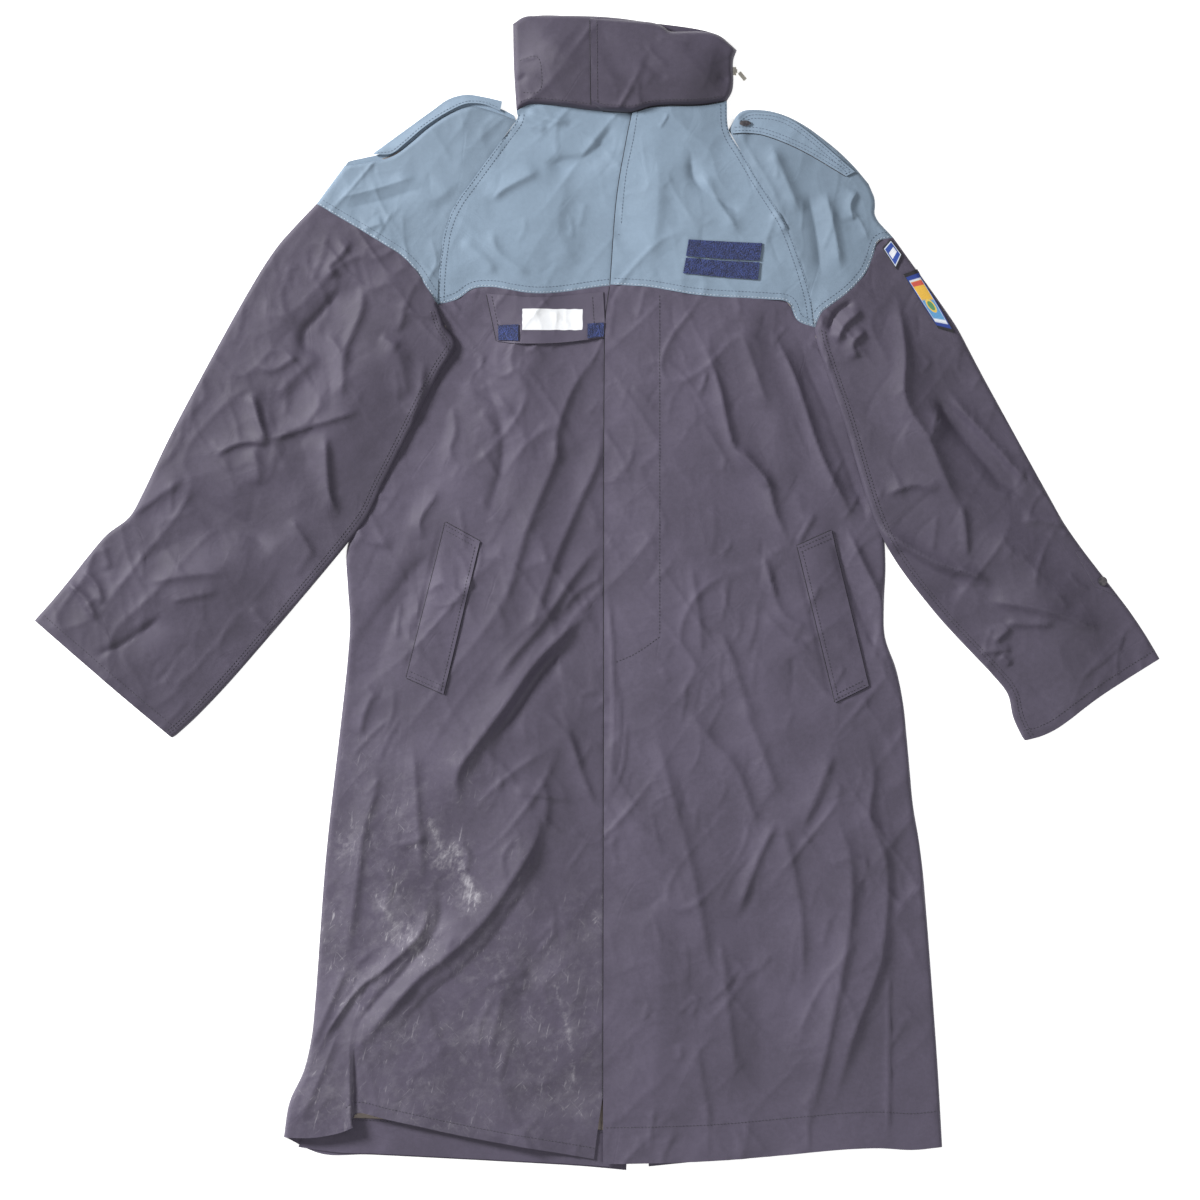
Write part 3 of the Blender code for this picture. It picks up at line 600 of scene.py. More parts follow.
def pushed_out(rim, by):
    """A closed outline moved outwards."""
    ahead = np.roll(rim, -1, axis=0) - rim
    ahead /= np.linalg.norm(ahead, axis=1)[:, None]
    back = np.roll(ahead, 1, axis=0)
    outward = np.column_stack([ahead[:, 1] + back[:, 1], -ahead[:, 0] - back[:, 0]])
    share = 1.0 + np.sum(ahead * back, axis=1)
    return rim + outward * (by / np.maximum(0.6, share))[:, None]


def four_sides(rim, corners):
    """Cuts an outline at its four corners: foot, head, right side and left side."""
    at = [int(np.argmin(np.linalg.norm(rim - np.array(corner), axis=1))) for corner in corners]

    def run(first, last):
        count = (last - first) % len(rim)
        return rim[(first + np.arange(count + 1)) % len(rim)]

    foot, left = run(at[0], at[1]), run(at[1], at[2])
    head, right = run(at[2], at[3])[::-1], run(at[3], at[0])[::-1]
    return {"foot": foot, "head": head, "right": right, "left": left}


def shifted(sides, moves):
    """Moves the four corners of a patch and takes its sides along."""
    foot_right, foot_left, head_left, head_right = (np.array(move, float) for move in moves)
    ends = {
        "foot": (foot_right, foot_left),
        "left": (foot_left, head_left),
        "head": (head_right, head_left),
        "right": (foot_right, head_right),
    }
    for name, (start, stop) in ends.items():
        share = lengths_along(sides[name])[:, None] / lengths_along(sides[name])[-1]
        sides[name] = sides[name] + (1.0 - share) * start + share * stop
    return sides


def stations(length, cell, fine_start, fine_end, extra=()):
    """Shares of a length at which mesh lines run, with closer ones at folded edges."""
    shares = np.linspace(0.0, 1.0, max(2, round(length / cell)) + 1)
    close = np.array(FOLD_STATIONS) / length
    for fine, far in ((fine_start, False), (fine_end, True)):
        if fine:
            inwards = 1 - shares if far else shares
            shares = shares[(inwards == 0.0) | (inwards > close[-1] * 1.3)]
            shares = np.append(shares, 1 - close if far else close)
    for share in extra:
        apart = np.abs(shares - share) > 0.4 * cell / length
        shares = np.append(shares[apart | (shares == 0.0) | (shares == 1.0)], share)
    return np.unique(shares)


RELAXING_PASSES = 160


def filled(sides, across, up):
    """Coons patch between four sides, as rows of points."""
    foot, head = points_at(sides["foot"], across), points_at(sides["head"], across)
    right, left = points_at(sides["right"], up), points_at(sides["left"], up)
    u, v = across[None, :, None], up[:, None, None]
    ruled = (1 - v) * foot[None] + v * head[None] + (1 - u) * right[:, None] + u * left[:, None]
    corners = (1 - u) * (1 - v) * foot[0] + u * (1 - v) * foot[-1]
    corners = corners + (1 - u) * v * head[0] + u * v * head[-1]
    return relaxed(ruled - corners, across, up)


def relaxed(grid, across, up):
    """Lets the inner points of a patch settle between their neighbours, so that it nowhere folds over."""
    before_u = ((across[2:] - across[1:-1]) / (across[2:] - across[:-2]))[None, :, None]
    before_v = ((up[2:] - up[1:-1]) / (up[2:] - up[:-2]))[:, None, None]
    for _ in range(RELAXING_PASSES):
        along_u = before_u * grid[1:-1, :-2] + (1.0 - before_u) * grid[1:-1, 2:]
        along_v = before_v * grid[:-2, 1:-1] + (1.0 - before_v) * grid[2:, 1:-1]
        grid[1:-1, 1:-1] = 0.5 * (along_u + along_v)
    return grid


def blurred(field, passes):
    for _ in range(passes):
        field = np.pad(field, 1, mode="edge")
        field = (field[:-2, 1:-1] + 2 * field[1:-1, 1:-1] + field[2:, 1:-1]) / 4
        field = np.pad(field, ((0, 0), (1, 1)), mode="edge")
        field = (field[:, :-2] + 2 * field[:, 1:-1] + field[:, 2:]) / 4
    return field


def drop_onto(tree, points, default):
    """Heights of the highest surface under each point, in millimetres."""
    heights = np.full(len(points), default)
    for index, (x, y) in enumerate(points):
        hit = tree.ray_cast(Vector((x, y, SKY_HIGH)), DOWN)[0]
        if hit is not None:
            heights[index] = hit.z
    return heights


def nearest_heights(tree, points, guess):
    return np.array([tree.find_nearest(Vector((x, y, guess)))[0].z for x, y in points])


# What later pieces need to know of a finished one: its surface in garment millimetres and its sides.
Made = namedtuple("Made", "tree sides")
made = {}

# Width of a rolled side, and the length over which the roll fades below an unfolded stretch.
ROLL = 5.0
ROLL_FADE = 25.0
# How softly cloth gives way where it would sink into the layer below.
GIVE = 0.35


def soft_plus(value):
    """Nought below nought and the value above it, with a soft change."""
    return GIVE * np.logaddexp(0.0, value / GIVE)


def patch_sides(rim, corners, moves, reach):
    """The four sides of a patch of cloth, with its corners moved and some sides let out."""
    sides = {name: smooth_line(line, 6) for name, line in four_sides(rim, corners).items()}
    if moves:
        sides = shifted(sides, moves)
    for name, by in reach.items():
        shares = lengths_along(sides[name]) / lengths_along(sides[name])[-1]
        outward = inside_line(sides[name], -1.0, INWARD[name]) - sides[name]
        swell = np.sin(np.pi * np.clip(shares, 0.0, 1.0)) ** 0.15
        sides[name] = sides[name] + outward * (by * swell)[:, None]
    return sides


def resting_heights(tree, points, below, thick, conform, pleat):
    """Where the cloth lies before it creases: on its solid or, if it conforms, on the pieces below."""
    if conform is not None:
        known = below > NOTHING / 2
        return np.where(known, below, below[known].mean() if known.any() else 0.0)
    base = drop_onto(tree, points, np.nan)
    missed = np.isnan(base)
    if missed.any():
        guess = 0.0 if missed.all() else float(np.nanmean(base))
        base[missed] = nearest_heights(tree, points[missed], guess)
    base -= CAD_CLOTH - thick
    if pleat:
        base -= solid_pleat(points)
    return base


def sewn_in(points, line, seed, crumple):
    """How a seam draws the cloth: small puckers that fade away from it, and a narrow groove."""
    distance = nearest_on_line(points, line)[0]
    puckers = 0.5 * rolling_noise(points, 7.0, seed + 5) * np.exp(-distance / 9.0) * crumple
    return puckers - 0.25 * np.exp(-((distance / 1.8) ** 2))


def rolled_down(points, heights, lines, layer, thick, unfolded_above):
    """Rolls the folded sides of a sheet down to the layer that they end on."""
    factor = np.ones(len(points))
    for line in lines:
        distance = nearest_on_line(points, line)[0]
        bend = np.sqrt(1.0 - (1.0 - np.clip(distance / ROLL, 0.0, 1.0)) ** 2)
        if unfolded_above is not None:
            bend = np.maximum(bend, smooth_step(points[:, 1], unfolded_above - ROLL_FADE, unfolded_above))
        factor *= bend
    rolled = np.flatnonzero(factor < 0.999)
    target = nearest_heights(layer, points[rolled], 0.0) - thick + 0.05
    heights[rolled] = target + (np.maximum(heights[rolled], target + 0.5) - target) * factor[rolled]
    return heights


def grid_mesh(place, painted):
    """A mesh through rows of points, with painted values at them."""
    rows, columns = place.shape[:2]
    mesh = bmesh.new()
    bmesh.ops.create_grid(mesh, x_segments=columns - 1, y_segments=rows - 1, size=0.5)
    layers = [(mesh.verts.layers.float.new(name), values) for name, values in painted.items()]
    for vertex in mesh.verts:
        column = round((vertex.co.x + 0.5) * (columns - 1))
        row = round((vertex.co.y + 0.5) * (rows - 1))
        vertex.co = place[row, column]
        for layer, values in layers:
            vertex[layer] = values[row * columns + column]
    for edge in mesh.edges:
        edge.smooth = not edge.is_boundary
    mesh.normal_update()
    if sum(face.normal.z for face in mesh.faces) < 0:
        bmesh.ops.reverse_faces(mesh, faces=mesh.faces)
    return mesh


def make_sheet(
    node, corners, cell, cut, slot, finish, reverse, *, seed, blur, folded=(), sewn=(), over=(), creases=(),
    crumple=1.0, scattered=True, unfolded_above=None, outset=0.2, conform=None, thick=None, pleat=False,
    marks=None, edge_on=None, keep_above=0.25, reach=None, edge=None, moves=None,
):
    """A sheet of cloth over a CAD solid.

    Its corners run anticlockwise from the hem at the wearer's right. Folded sides roll down to the piece
    it has its edge on, and sewn ones pucker. Over names the pieces it lies on, or conforms to if it is to
    lie that far above them. The cut, its flat width, length and area, is not used.
    """
    settings = bpy.context.scene.coat_settings
    thick = (settings.cloth_thickness / MM) if thick is None else thick
    skin = upper_skin(node)
    tree = BVHTree.FromBMesh(skin)
    sides = patch_sides(pushed_out(outline(skin), outset), corners, moves, reach or {})
    skin.free()
    longest = {name: lengths_along(line)[-1] for name, line in sides.items()}
    width, length = max(longest["foot"], longest["head"]), max(longest["right"], longest["left"])
    extra = pleat_stations(sides) if pleat else ()
    across = stations(width, cell, "right" in folded, "left" in folded, extra)
    up = stations(length, cell, "foot" in folded, "head" in folded)
    grid = filled(sides, across, up)
    if pleat:
        grid = straightened(grid, sides["foot"], across)
    shape = grid.shape[:2]
    points = grid.reshape(-1, 2)

    below = np.full(len(points), NOTHING)
    for name in over:
        below = np.maximum(below, drop_onto(made[name].tree, points, NOTHING))
    base = resting_heights(tree, points, below, thick, conform, pleat)
    heights = blurred(base.reshape(shape), blur).ravel()
    if conform is not None:
        heights = heights + conform + thick
    if creases and scattered:
        creases = creases + small_creases(points, seed, SMALL_DENSITY * crumple)
    heights = heights + crease_heights(points, creases) * settings.crease_depth
    heights += crumple_heights(points, seed) * crumple * settings.crumple
    for name in sewn:
        heights += sewn_in(points, sides[name], seed, crumple)
    if pleat:
        grid, heights = folded_pleat(grid, heights.reshape(shape), sides["foot"], across)
        points, heights = grid.reshape(-1, 2), heights.ravel()
    floor = below + keep_above + thick
    heights = np.where(below > NOTHING / 2, floor + soft_plus(heights - floor), heights)
    if edge_on:
        lines = [sides[name] for name in folded]
        heights = rolled_down(points, heights, lines, made[edge_on].tree, thick, unfolded_above)
    heights = np.maximum(heights, thick)

    painted = marks(points, across, up) if marks else {}
    mesh = grid_mesh(to_world(points, heights).reshape(*shape, 3), painted)
    surface = to_garment(mesh.copy())
    made[node] = Made(BVHTree.FromBMesh(surface), sides)
    surface.free()
    # Unless another finish is given, the rims take a darker copy of the cloth: painted shade along every cut
    # or folded edge.
    edge = edge or finish_named("sky edge" if slot == "sky_cloth" else "slate edge")
    piece = add_piece(node + "_cloth", mesh, [finish, reverse, edge], [node])
    solidify = piece.modifiers.new("Cloth thickness", "SOLIDIFY")
    solidify.thickness = thick * MM
    solidify.offset = -1.0
    solidify.material_offset = 1
    solidify.material_offset_rim = 2
    width_cut, length_cut, area_cut = cut
    width_cut * MM
    length_cut * MM
    [name + "_cloth" for name in over] or ["floor"]


def add_piece(name, mesh, finishes, nodes=()):
    """Turns a mesh into a finished piece of the coat."""
    data = bpy.data.meshes.new(name)
    mesh.to_mesh(data)
    mesh.free()
    for finish in finishes:
        data.materials.append(finish)
    data.polygons.foreach_set("use_smooth", [True] * len(data.polygons))
    piece = bpy.data.objects.new(name, data)
    bpy.context.scene.collection.objects.link(piece)
    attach(piece, "coat")
    if nodes:
        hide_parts(*nodes)
    return piece


def finish_named(name):
    """Each finish is made once, when it is first asked for."""
    if name not in finishes:
        finishes[name] = MAKERS[name](name)
    return finishes[name]


def cloth(colour, amount=1.0, **options):
    """Makes coated cloth in a shade of one of the coat's colours."""
    return lambda name: cloth_finish(name, tint(settings_colour(colour), amount), **options)


def plain(colour, amount=1.0):
    """Makes plain cloth in a shade of one of the coat's colours."""
    return lambda name: plain_cloth_finish(name, tint(settings_colour(colour), amount))


def coloured(maker, colour):
    """Makes another finish in one of the coat's colours."""
    return lambda name: maker(name, settings_colour(colour))


SKY_CLOTH = {"patchy": 0.07, "roughness": 0.68}
finishes = {}
MAKERS = {
    "slate cloth": cloth("slate"),
    # The right front's finish is real dust over slate painted 0.94 times darker, as shade of its folds.
    "slate cloth dusty": cloth("slate", 0.94, dusty=True),
    # The sleeve copies of the slate cloth are painted darker, as shade.
    "slate cloth right sleeve": cloth("slate", 0.78, turn=0.85),
    "slate cloth left sleeve": cloth("slate", 0.86, turn=-0.6),
    "slate cloth back": cloth("slate", inner_shows=True),
    "slate cloth collar": cloth("slate", 0.76, turn=0.05),
    "sky cloth": cloth("sky", turn=0.1, **SKY_CLOTH),
    # The caps' sky cloth is a darker copy of the yokes' cloth: painted shade.
    "sky cloth cap": cloth("sky", 0.86, turn=0.6, **SKY_CLOTH),
    # The two edge finishes are darker copies of the cloth for the rims: painted shade.
    "slate edge": plain("slate", 0.35),
    "sky edge": plain("sky", 0.5),
    "reverse": plain("reverse"),
    # Contact shade is painted shadow, for the dark lines where an edge meets the cloth below.
    "contact shade": lambda name: plain_cloth_finish(name, (0.010, 0.009, 0.014)),
    "black twill": lambda name: plain_cloth_finish(name, (0.018, 0.017, 0.02), 1.0, 0.85),
    "name flap": coloured(flap_finish, "slate"),
    "navy pile": coloured(pile_finish, "navy"),
    "pale thread": coloured(thread_finish, "pale_thread"),
    "slate thread": coloured(thread_finish, "slate_thread"),
    "dark thread": coloured(thread_finish, "dark_thread"),
    "floor": coloured(floor_finish, "floor"),
    "shield": shield_finish,
    "arc": arc_finish,
    "zip metal": metal_finish,
    "horn": horn_finish,
}


def settings_colour(name):
    return tuple(getattr(bpy.context.scene.coat_settings, name))


# ---------------------------------------------------------------------------------------------------
# Creases, in garment millimetres: height, width, sharpness and path
# ---------------------------------------------------------------------------------------------------

RIGHT_FRONT_CREASES = [
    # Beside the welt.
    (-1.6, 4, 0.4, [(-219, 532), (-197, 620), (-176, 708)]),
    # The hollow beside the sleeve.
    (-7.0, 17, 0.3, [(-172, 935), (-166, 900), (-178, 860), (-198, 815), (-222, 770)]),
    # Fan of drags from the placket down towards the pocket.
    (4, 12, 0.5, [(2, 901), (-31, 857), (-50, 807), (-53, 774), (-80, 708), (-97, 653), (-116, 593)]),
    (4, 11, 0.5, [(0, 818), (-6, 774), (-25, 730), (-53, 664), (-75, 598), (-86, 576)]),
    (4.8, 12, 0.5, [(0, 686), (-31, 648), (-64, 598), (-97, 560), (-124, 521)]),
    (7.5, 14, 0.6, [(-8, 612), (-47, 580), (-78, 546), (-105, 507), (-138, 463), (-160, 428), (-157, 389)]),
    (-5, 12, 0.4, [(-30, 572), (-61, 552), (-85, 520), (-118, 470)]),
    (3.1, 8, 0.6, [(1, 648), (-31, 626), (-47, 604)]),
    (1.5, 5, 0.8, [(-25, 517), (-4, 520)]),
    (-5.6, 18, 0.2, [(-185, 673), (-207, 653), (-223, 626), (-256, 576), (-274, 521)]),
    (1.9, 5, 0.9, [(-223, 620), (-227, 576)]),
    (3.2, 8, 0.6, [(-179, 741), (-201, 708), (-196, 686)]),
    # Chest and side.
    (2.2, 6, 0.7, [(-132, 860), (-97, 824)]),
    (2, 6, 0.7, [(-135, 829), (-116, 802)]),
    (2.5, 7, 0.6, [(-168, 840), (-162, 807), (-168, 785), (-160, 769)]),
    (2, 6, 0.7, [(-133, 785), (-113, 752)]),
    (3, 8, 0.6, [(-274, 703), (-258, 686), (-229, 681)]),
    (2.5, 7, 0.6, [(-196, 626), (-174, 639), (-148, 617)]),
    (-3.1, 11, 0.4, [(-150, 900), (-120, 840), (-110, 780), (-130, 700)]),
    # Long folds that run down to the flap at the hem.
    (5.6, 11, 0.5, [(-63, 398), (-76, 353), (-94, 322), (-128, 272), (-164, 236), (-206, 202),
                    (-246, 156), (-276, 124)]),
    (-2.2, 9, 0.4, [(-56, 372), (-82, 310), (-114, 258), (-150, 218), (-192, 184), (-234, 136)]),
    (-3.6, 8, 0.5, [(-182, 318), (-180, 266), (-216, 216), (-244, 186), (-280, 140)]),
    (5.4, 9, 0.6, [(-197, 300), (-197, 260), (-235, 220), (-268, 194), (-296, 156), (-318, 118)]),
    (3.6, 7, 0.7, [(-68, 502), (-38, 468), (-25, 434), (-6, 388)]),
    (2.4, 5, 0.8, [(-248, 330), (-232, 306), (-238, 280), (-228, 262)]),
    (2.2, 5, 0.8, [(-160, 362), (-148, 340), (-152, 318)]),
    (2.0, 5, 0.8, [(-96, 360), (-110, 338), (-106, 312)]),
    (1.8, 6, 0.7, [(-98, 150), (-112, 100), (-110, 70)]),
    (5, 13, 0.5, [(-278, 224), (-298, 180), (-322, 125)]),
    (3.2, 9, 0.6, [(-251, 521), (-262, 495), (-268, 469)]),
    (4.4, 12, 0.5, [(-256, 444), (-249, 417), (-263, 367), (-270, 312), (-282, 224)]),
    (3.2, 9, 0.6, [(-209, 466), (-204, 400), (-199, 308)]),
    (2.2, 7, 0.7, [(-229, 373), (-223, 351), (-190, 362)]),
    (2.5, 7, 0.6, [(-97, 411), (-64, 406), (-31, 400)]),
    (2.2, 7, 0.6, [(-69, 428), (-61, 400), (-64, 367)]),
    (2.5, 8, 0.6, [(-47, 510), (-35, 470), (-23, 433)]),
    (1.8, 8, 0.5, [(-196, 180), (-185, 147), (-174, 114)]),
    (1.8, 9, 0.5, [(-108, 197), (-118, 155), (-124, 114)]),
    (-3.8, 26, 0.1, [(-60, 260), (-90, 180), (-80, 90)]),
    (3.1, 30, 0.1, [(-30, 330), (-40, 220), (-30, 90)]),
    (2.5, 9, 0.4, [(-336, 42), (-318, 80), (-302, 118), (-290, 150)]),
]

LEFT_FRONT_CREASES = [
    (-1.4, 4, 0.4, [(252, 508), (231, 595), (210, 680)]),
    (5.6, 10, 0.6, [(107, 912), (127, 857), (138, 807), (148, 782), (178, 754), (190, 714), (210, 672)]),
    (3.2, 7, 0.7, [(148, 790), (166, 768), (186, 742)]),
    (2.9, 9, 0.5, [(151, 917), (168, 870), (182, 829)]),
    (6.2, 10, 0.6, [(186, 917), (212, 862), (238, 784), (264, 730), (278, 704)]),
    (-5.6, 10, 0.5, [(214, 906), (246, 840), (276, 760), (292, 700)]),
    (1.6, 6, 0.6, [(30, 857), (57, 829)]),
    (2.1, 7, 0.6, [(107, 818), (125, 790), (145, 758)]),
    (2.6, 9, 0.5, [(96, 664), (107, 587), (107, 554)]),
    (2.9, 9, 0.5, [(129, 587), (144, 548), (156, 510), (170, 488)]),
    (2.9, 8, 0.5, [(178, 675), (195, 609), (239, 576)]),
    (2.1, 5, 0.8, [(174, 672), (190, 623)]),
    (2.6, 8, 0.6, [(173, 609), (206, 576), (240, 554)]),
    (-4.4, 8, 0.5, [(252, 690), (268, 645), (286, 606), (302, 560)]),
    (5.4, 8, 0.6, [(266, 704), (286, 660), (304, 624), (318, 580), (326, 540)]),
    (2.6, 7, 0.6, [(213, 681), (233, 716)]),
    # Below the pockets.
    (4.2, 11, 0.5, [(90, 501), (120, 464), (150, 427), (172, 358)]),
    (3.6, 10, 0.5, [(150, 512), (172, 460), (193, 403)]),
    (4.2, 10, 0.5, [(193, 382), (172, 340), (146, 270)]),
    (3.4, 10, 0.5, [(196, 382), (217, 279), (219, 196)]),
    (3.6, 10, 0.5, [(255, 455), (236, 410), (217, 367)]),
    (4.2, 11, 0.5, [(258, 378), (271, 336), (271, 266), (250, 150), (223, 32)]),
    (4.4, 11, 0.5, [(287, 480), (297, 427), (293, 382), (312, 326), (308, 241), (299, 205),
                    (273, 136), (249, 52)]),
    (3.6, 12, 0.4, [(55, 487), (73, 417), (98, 322), (120, 199)]),
    (2.6, 9, 0.5, [(10, 403), (45, 367), (94, 326)]),
    (2.6, 10, 0.5, [(129, 238), (138, 166), (146, 94)]),
    (2.1, 8, 0.5, [(101, 136), (109, 90), (117, 42)]),
    (-3.9, 30, 0.1, [(140, 330), (170, 200), (175, 60)]),
    (3.9, 34, 0.1, [(60, 300), (60, 160), (50, 40)]),
    (2.3, 3.5, 0.9, [(314, 217), (314, 120), (313, 24)]),
    (1.6, 5, 0.7, [(226, 80), (225, 10)]),
    (1.3, 5, 0.7, [(116, 70), (115, 8)]),
    # Ripples of the placket, which meet at one buttonhole.
    (2.3, 4.5, 0.7, [(5, 640), (8, 600), (11, 554), (12, 466), (4, 402)]),
    (1.8, 4.0, 0.7, [(17, 530), (18, 466), (6, 402)]),
    (1.8, 4.0, 0.7, [(26, 490), (22, 440), (7, 402)]),
]

RIGHT_SLEEVE_CREASES = [
    (4.2, 8, 0.6, [(-276, 1016), (-289, 997), (-300, 986), (-294, 972)]),
    (-4.4, 10, 0.5, [(-286, 964), (-314, 931), (-328, 915), (-327, 887)]),
    (3.9, 9, 0.6, [(-265, 967), (-265, 939), (-282, 895), (-280, 871)]),
    (3.4, 8, 0.6, [(-306, 917), (-287, 887), (-286, 851), (-289, 840)]),
    (4.2, 15, 0.3, [(-311, 890), (-344, 860), (-361, 840)]),
    (3.1, 7, 0.6, [(-380, 878), (-361, 873), (-333, 890)]),
    (7.0, 8, 0.6, [(-387, 850), (-378, 818), (-372, 800), (-367, 790)]),
    (3.2, 9, 0.5, [(-384, 790), (-379, 765), (-378, 744)]),
    (3.9, 7, 0.8, [(-366, 796), (-311, 814), (-265, 828)]),
    (4.8, 6, 0.8, [(-426, 779), (-404, 791), (-384, 794), (-366, 790)]),
    (6.0, 8, 0.6, [(-304, 804), (-303, 765), (-300, 735), (-290, 710)]),
    (2.6, 7, 0.6, [(-245, 909), (-223, 898)]),
    (4.2, 14, 0.3, [(-240, 906), (-223, 884), (-215, 840)]),
    (2.9, 8, 0.5, [(-196, 884), (-200, 851), (-212, 813)]),
    (3.1, 8, 0.6, [(-218, 950), (-220, 928), (-229, 912)]),
    (2.3, 5, 0.7, [(-218, 939), (-199, 933), (-182, 931)]),
    (-4.9, 15, 0.3, [(-457, 741), (-443, 725), (-416, 708), (-388, 697), (-366, 670)]),
    (3.9, 12, 0.4, [(-520, 712), (-490, 733), (-460, 755)]),
    (2.6, 7, 0.6, [(-550, 681), (-542, 653)]),
    (4.8, 7, 0.7, [(-572, 655), (-556, 636), (-549, 614)]),
    (5.0, 7, 0.7, [(-590, 640), (-568, 622), (-556, 598)]),
    (3.1, 9, 0.5, [(-498, 640), (-450, 648), (-410, 650)]),
    (2.6, 8, 0.6, [(-476, 618), (-421, 631)]),
    (-3.9, 9, 0.5, [(-560, 558), (-531, 570), (-509, 584), (-482, 604)]),
    (2.9, 8, 0.6, [(-388, 615), (-369, 590), (-361, 596)]),
    (2.9, 7, 0.6, [(-344, 711), (-328, 686), (-317, 664)]),
    (3.2, 26, 0.1, [(-420, 730), (-380, 760), (-330, 770)]),
    (-3.2, 24, 0.1, [(-510, 660), (-450, 690), (-400, 690)]),
]

LEFT_SLEEVE_CREASES = [
    (5.9, 10, 0.5, [(322, 961), (332, 895), (332, 840), (358, 796), (376, 752), (398, 708)]),
    (-9.0, 10, 0.5, [(365, 846), (376, 829), (420, 780), (459, 733)]),
    (5.9, 8, 0.6, [(377, 850), (392, 832), (434, 786), (472, 742)]),
    (4.7, 6, 0.7, [(369, 832), (362, 802), (375, 827)]),
    (4.3, 8, 0.6, [(310, 736), (343, 747), (371, 741)]),
    (4.3, 8, 0.6, [(393, 730), (398, 695), (400, 664)]),
    (9.0, 10, 0.7, [(302, 700), (360, 664), (415, 645), (420, 629)]),
    (-6.2, 13, 0.3, [(315, 680), (360, 648), (400, 630)]),
    (6.2, 10, 0.6, [(420, 620), (460, 614), (503, 604), (547, 587)]),
    (3.9, 8, 0.6, [(459, 708), (485, 707), (512, 703)]),
    (3.9, 7, 0.6, [(440, 595), (497, 593)]),
    (4.3, 7, 0.6, [(448, 591), (429, 573)]),
    (3.5, 6, 0.6, [(415, 563), (450, 566)]),
    (3.5, 6, 0.6, [(437, 560), (448, 549)]),
    (5.9, 8, 0.6, [(285, 939), (266, 923), (255, 901)]),
    (-5.5, 7, 0.6, [(276, 950), (255, 934), (248, 912)]),
    (5.5, 8, 0.6, [(289, 917), (274, 901), (280, 884)]),
    (2.3, 4, 0.9, [(464, 763), (486, 735), (508, 708)]),
    (3.9, 30, 0.1, [(420, 700), (470, 650), (520, 610)]),
]

YOKE_RIGHT_CREASES = [
    (-4.5, 10, 0.4, [(11, 1143), (-3, 1118), (-25, 1104), (-64, 1099)]),
    (3.6, 10, 0.4, [(-69, 1093), (-108, 1072), (-124, 1058)]),
    (2.8, 8, 0.5, [(-157, 1016), (-130, 994), (-117, 978)]),
    (3.4, 6, 0.6, [(-85, 1160), (-69, 1151), (-36, 1144)]),
    (2.8, 6, 0.6, [(-92, 1152), (-80, 1142), (-61, 1137)]),
    (2.5, 7, 0.5, [(-124, 1027), (-113, 1000), (-80, 976)]),
    (2.1, 18, 0.2, [(-40, 1080), (-50, 1030), (-30, 985)]),
]

YOKE_LEFT_CREASES = [
    (-3.9, 9, 0.4, [(96, 1115), (101, 1082), (123, 1063), (151, 1044)]),
    (3.6, 9, 0.5, [(107, 1090), (128, 1056), (151, 1022)]),
    (3.6, 7, 0.6, [(190, 1047), (202, 1025)]),
    (2.4, 16, 0.2, [(60, 1110), (60, 1050), (50, 990)]),
]

CAP_RIGHT_CREASES = [
    (2.8, 9, 0.5, [(-292, 1062), (-250, 1072), (-205, 1086)]),
    (-2.0, 10, 0.3, [(-286, 1050), (-240, 1060), (-195, 1074)]),
    (3, 8, 0.5, [(-265, 1027), (-240, 1035)]),
    (2.7, 14, 0.2, [(-230, 1090), (-190, 1060), (-160, 1080)]),
]

CAP_LEFT_CREASES = [
    (4.3, 10, 0.4, [(184, 1122), (200, 1084), (217, 1044)]),
    (4, 9, 0.5, [(244, 1071), (254, 1028), (261, 983)]),
    (4, 7, 0.5, [(280, 1071), (272, 1055), (275, 1036)]),
    (-3.6, 10, 0.4, [(225, 1070), (235, 1020), (240, 975)]),
]

COLLAR_CREASES = [
    (-1.8, 7, 0.5, [(41, 1214), (56, 1200), (72, 1192)]),
    (1.6, 6, 0.5, [(57, 1236), (78, 1234), (96, 1229)]),
    (-1.6, 5, 0.6, [(125, 1196), (138, 1191)]),
    (1.4, 20, 0.2, [(0, 1235), (50, 1230), (110, 1222)]),
]

COLLAR_RIGHT_CREASES = [
    (-2.0, 4, 0.6, [(-96, 1189), (-84, 1197)]),
    (1.2, 3, 0.8, [(-92, 1213), (-72, 1217)]),
    (1.4, 18, 0.2, [(-60, 1240), (-30, 1200)]),
]

WELT_RIGHT_CREASES = [
    (0.9, 3.5, 0.6, [(-200, 620), (-180, 614), (-160, 618)]),
    (0.6, 3.0, 0.6, [(-196, 590), (-178, 584)]),
]
WELT_LEFT_CREASES = [(0.8, 3.5, 0.6, [(240, 640), (258, 634), (274, 640)])]

# The name flap's lower edge stands off the front.
FLAP_CREASES = [
    (2.6, 9, 0.2, [(-112, 903), (-80, 901), (-40, 901), (-2, 906)]),
    (-0.6, 7, 0.3, [(-100, 936), (-55, 934), (-12, 938)]),
]

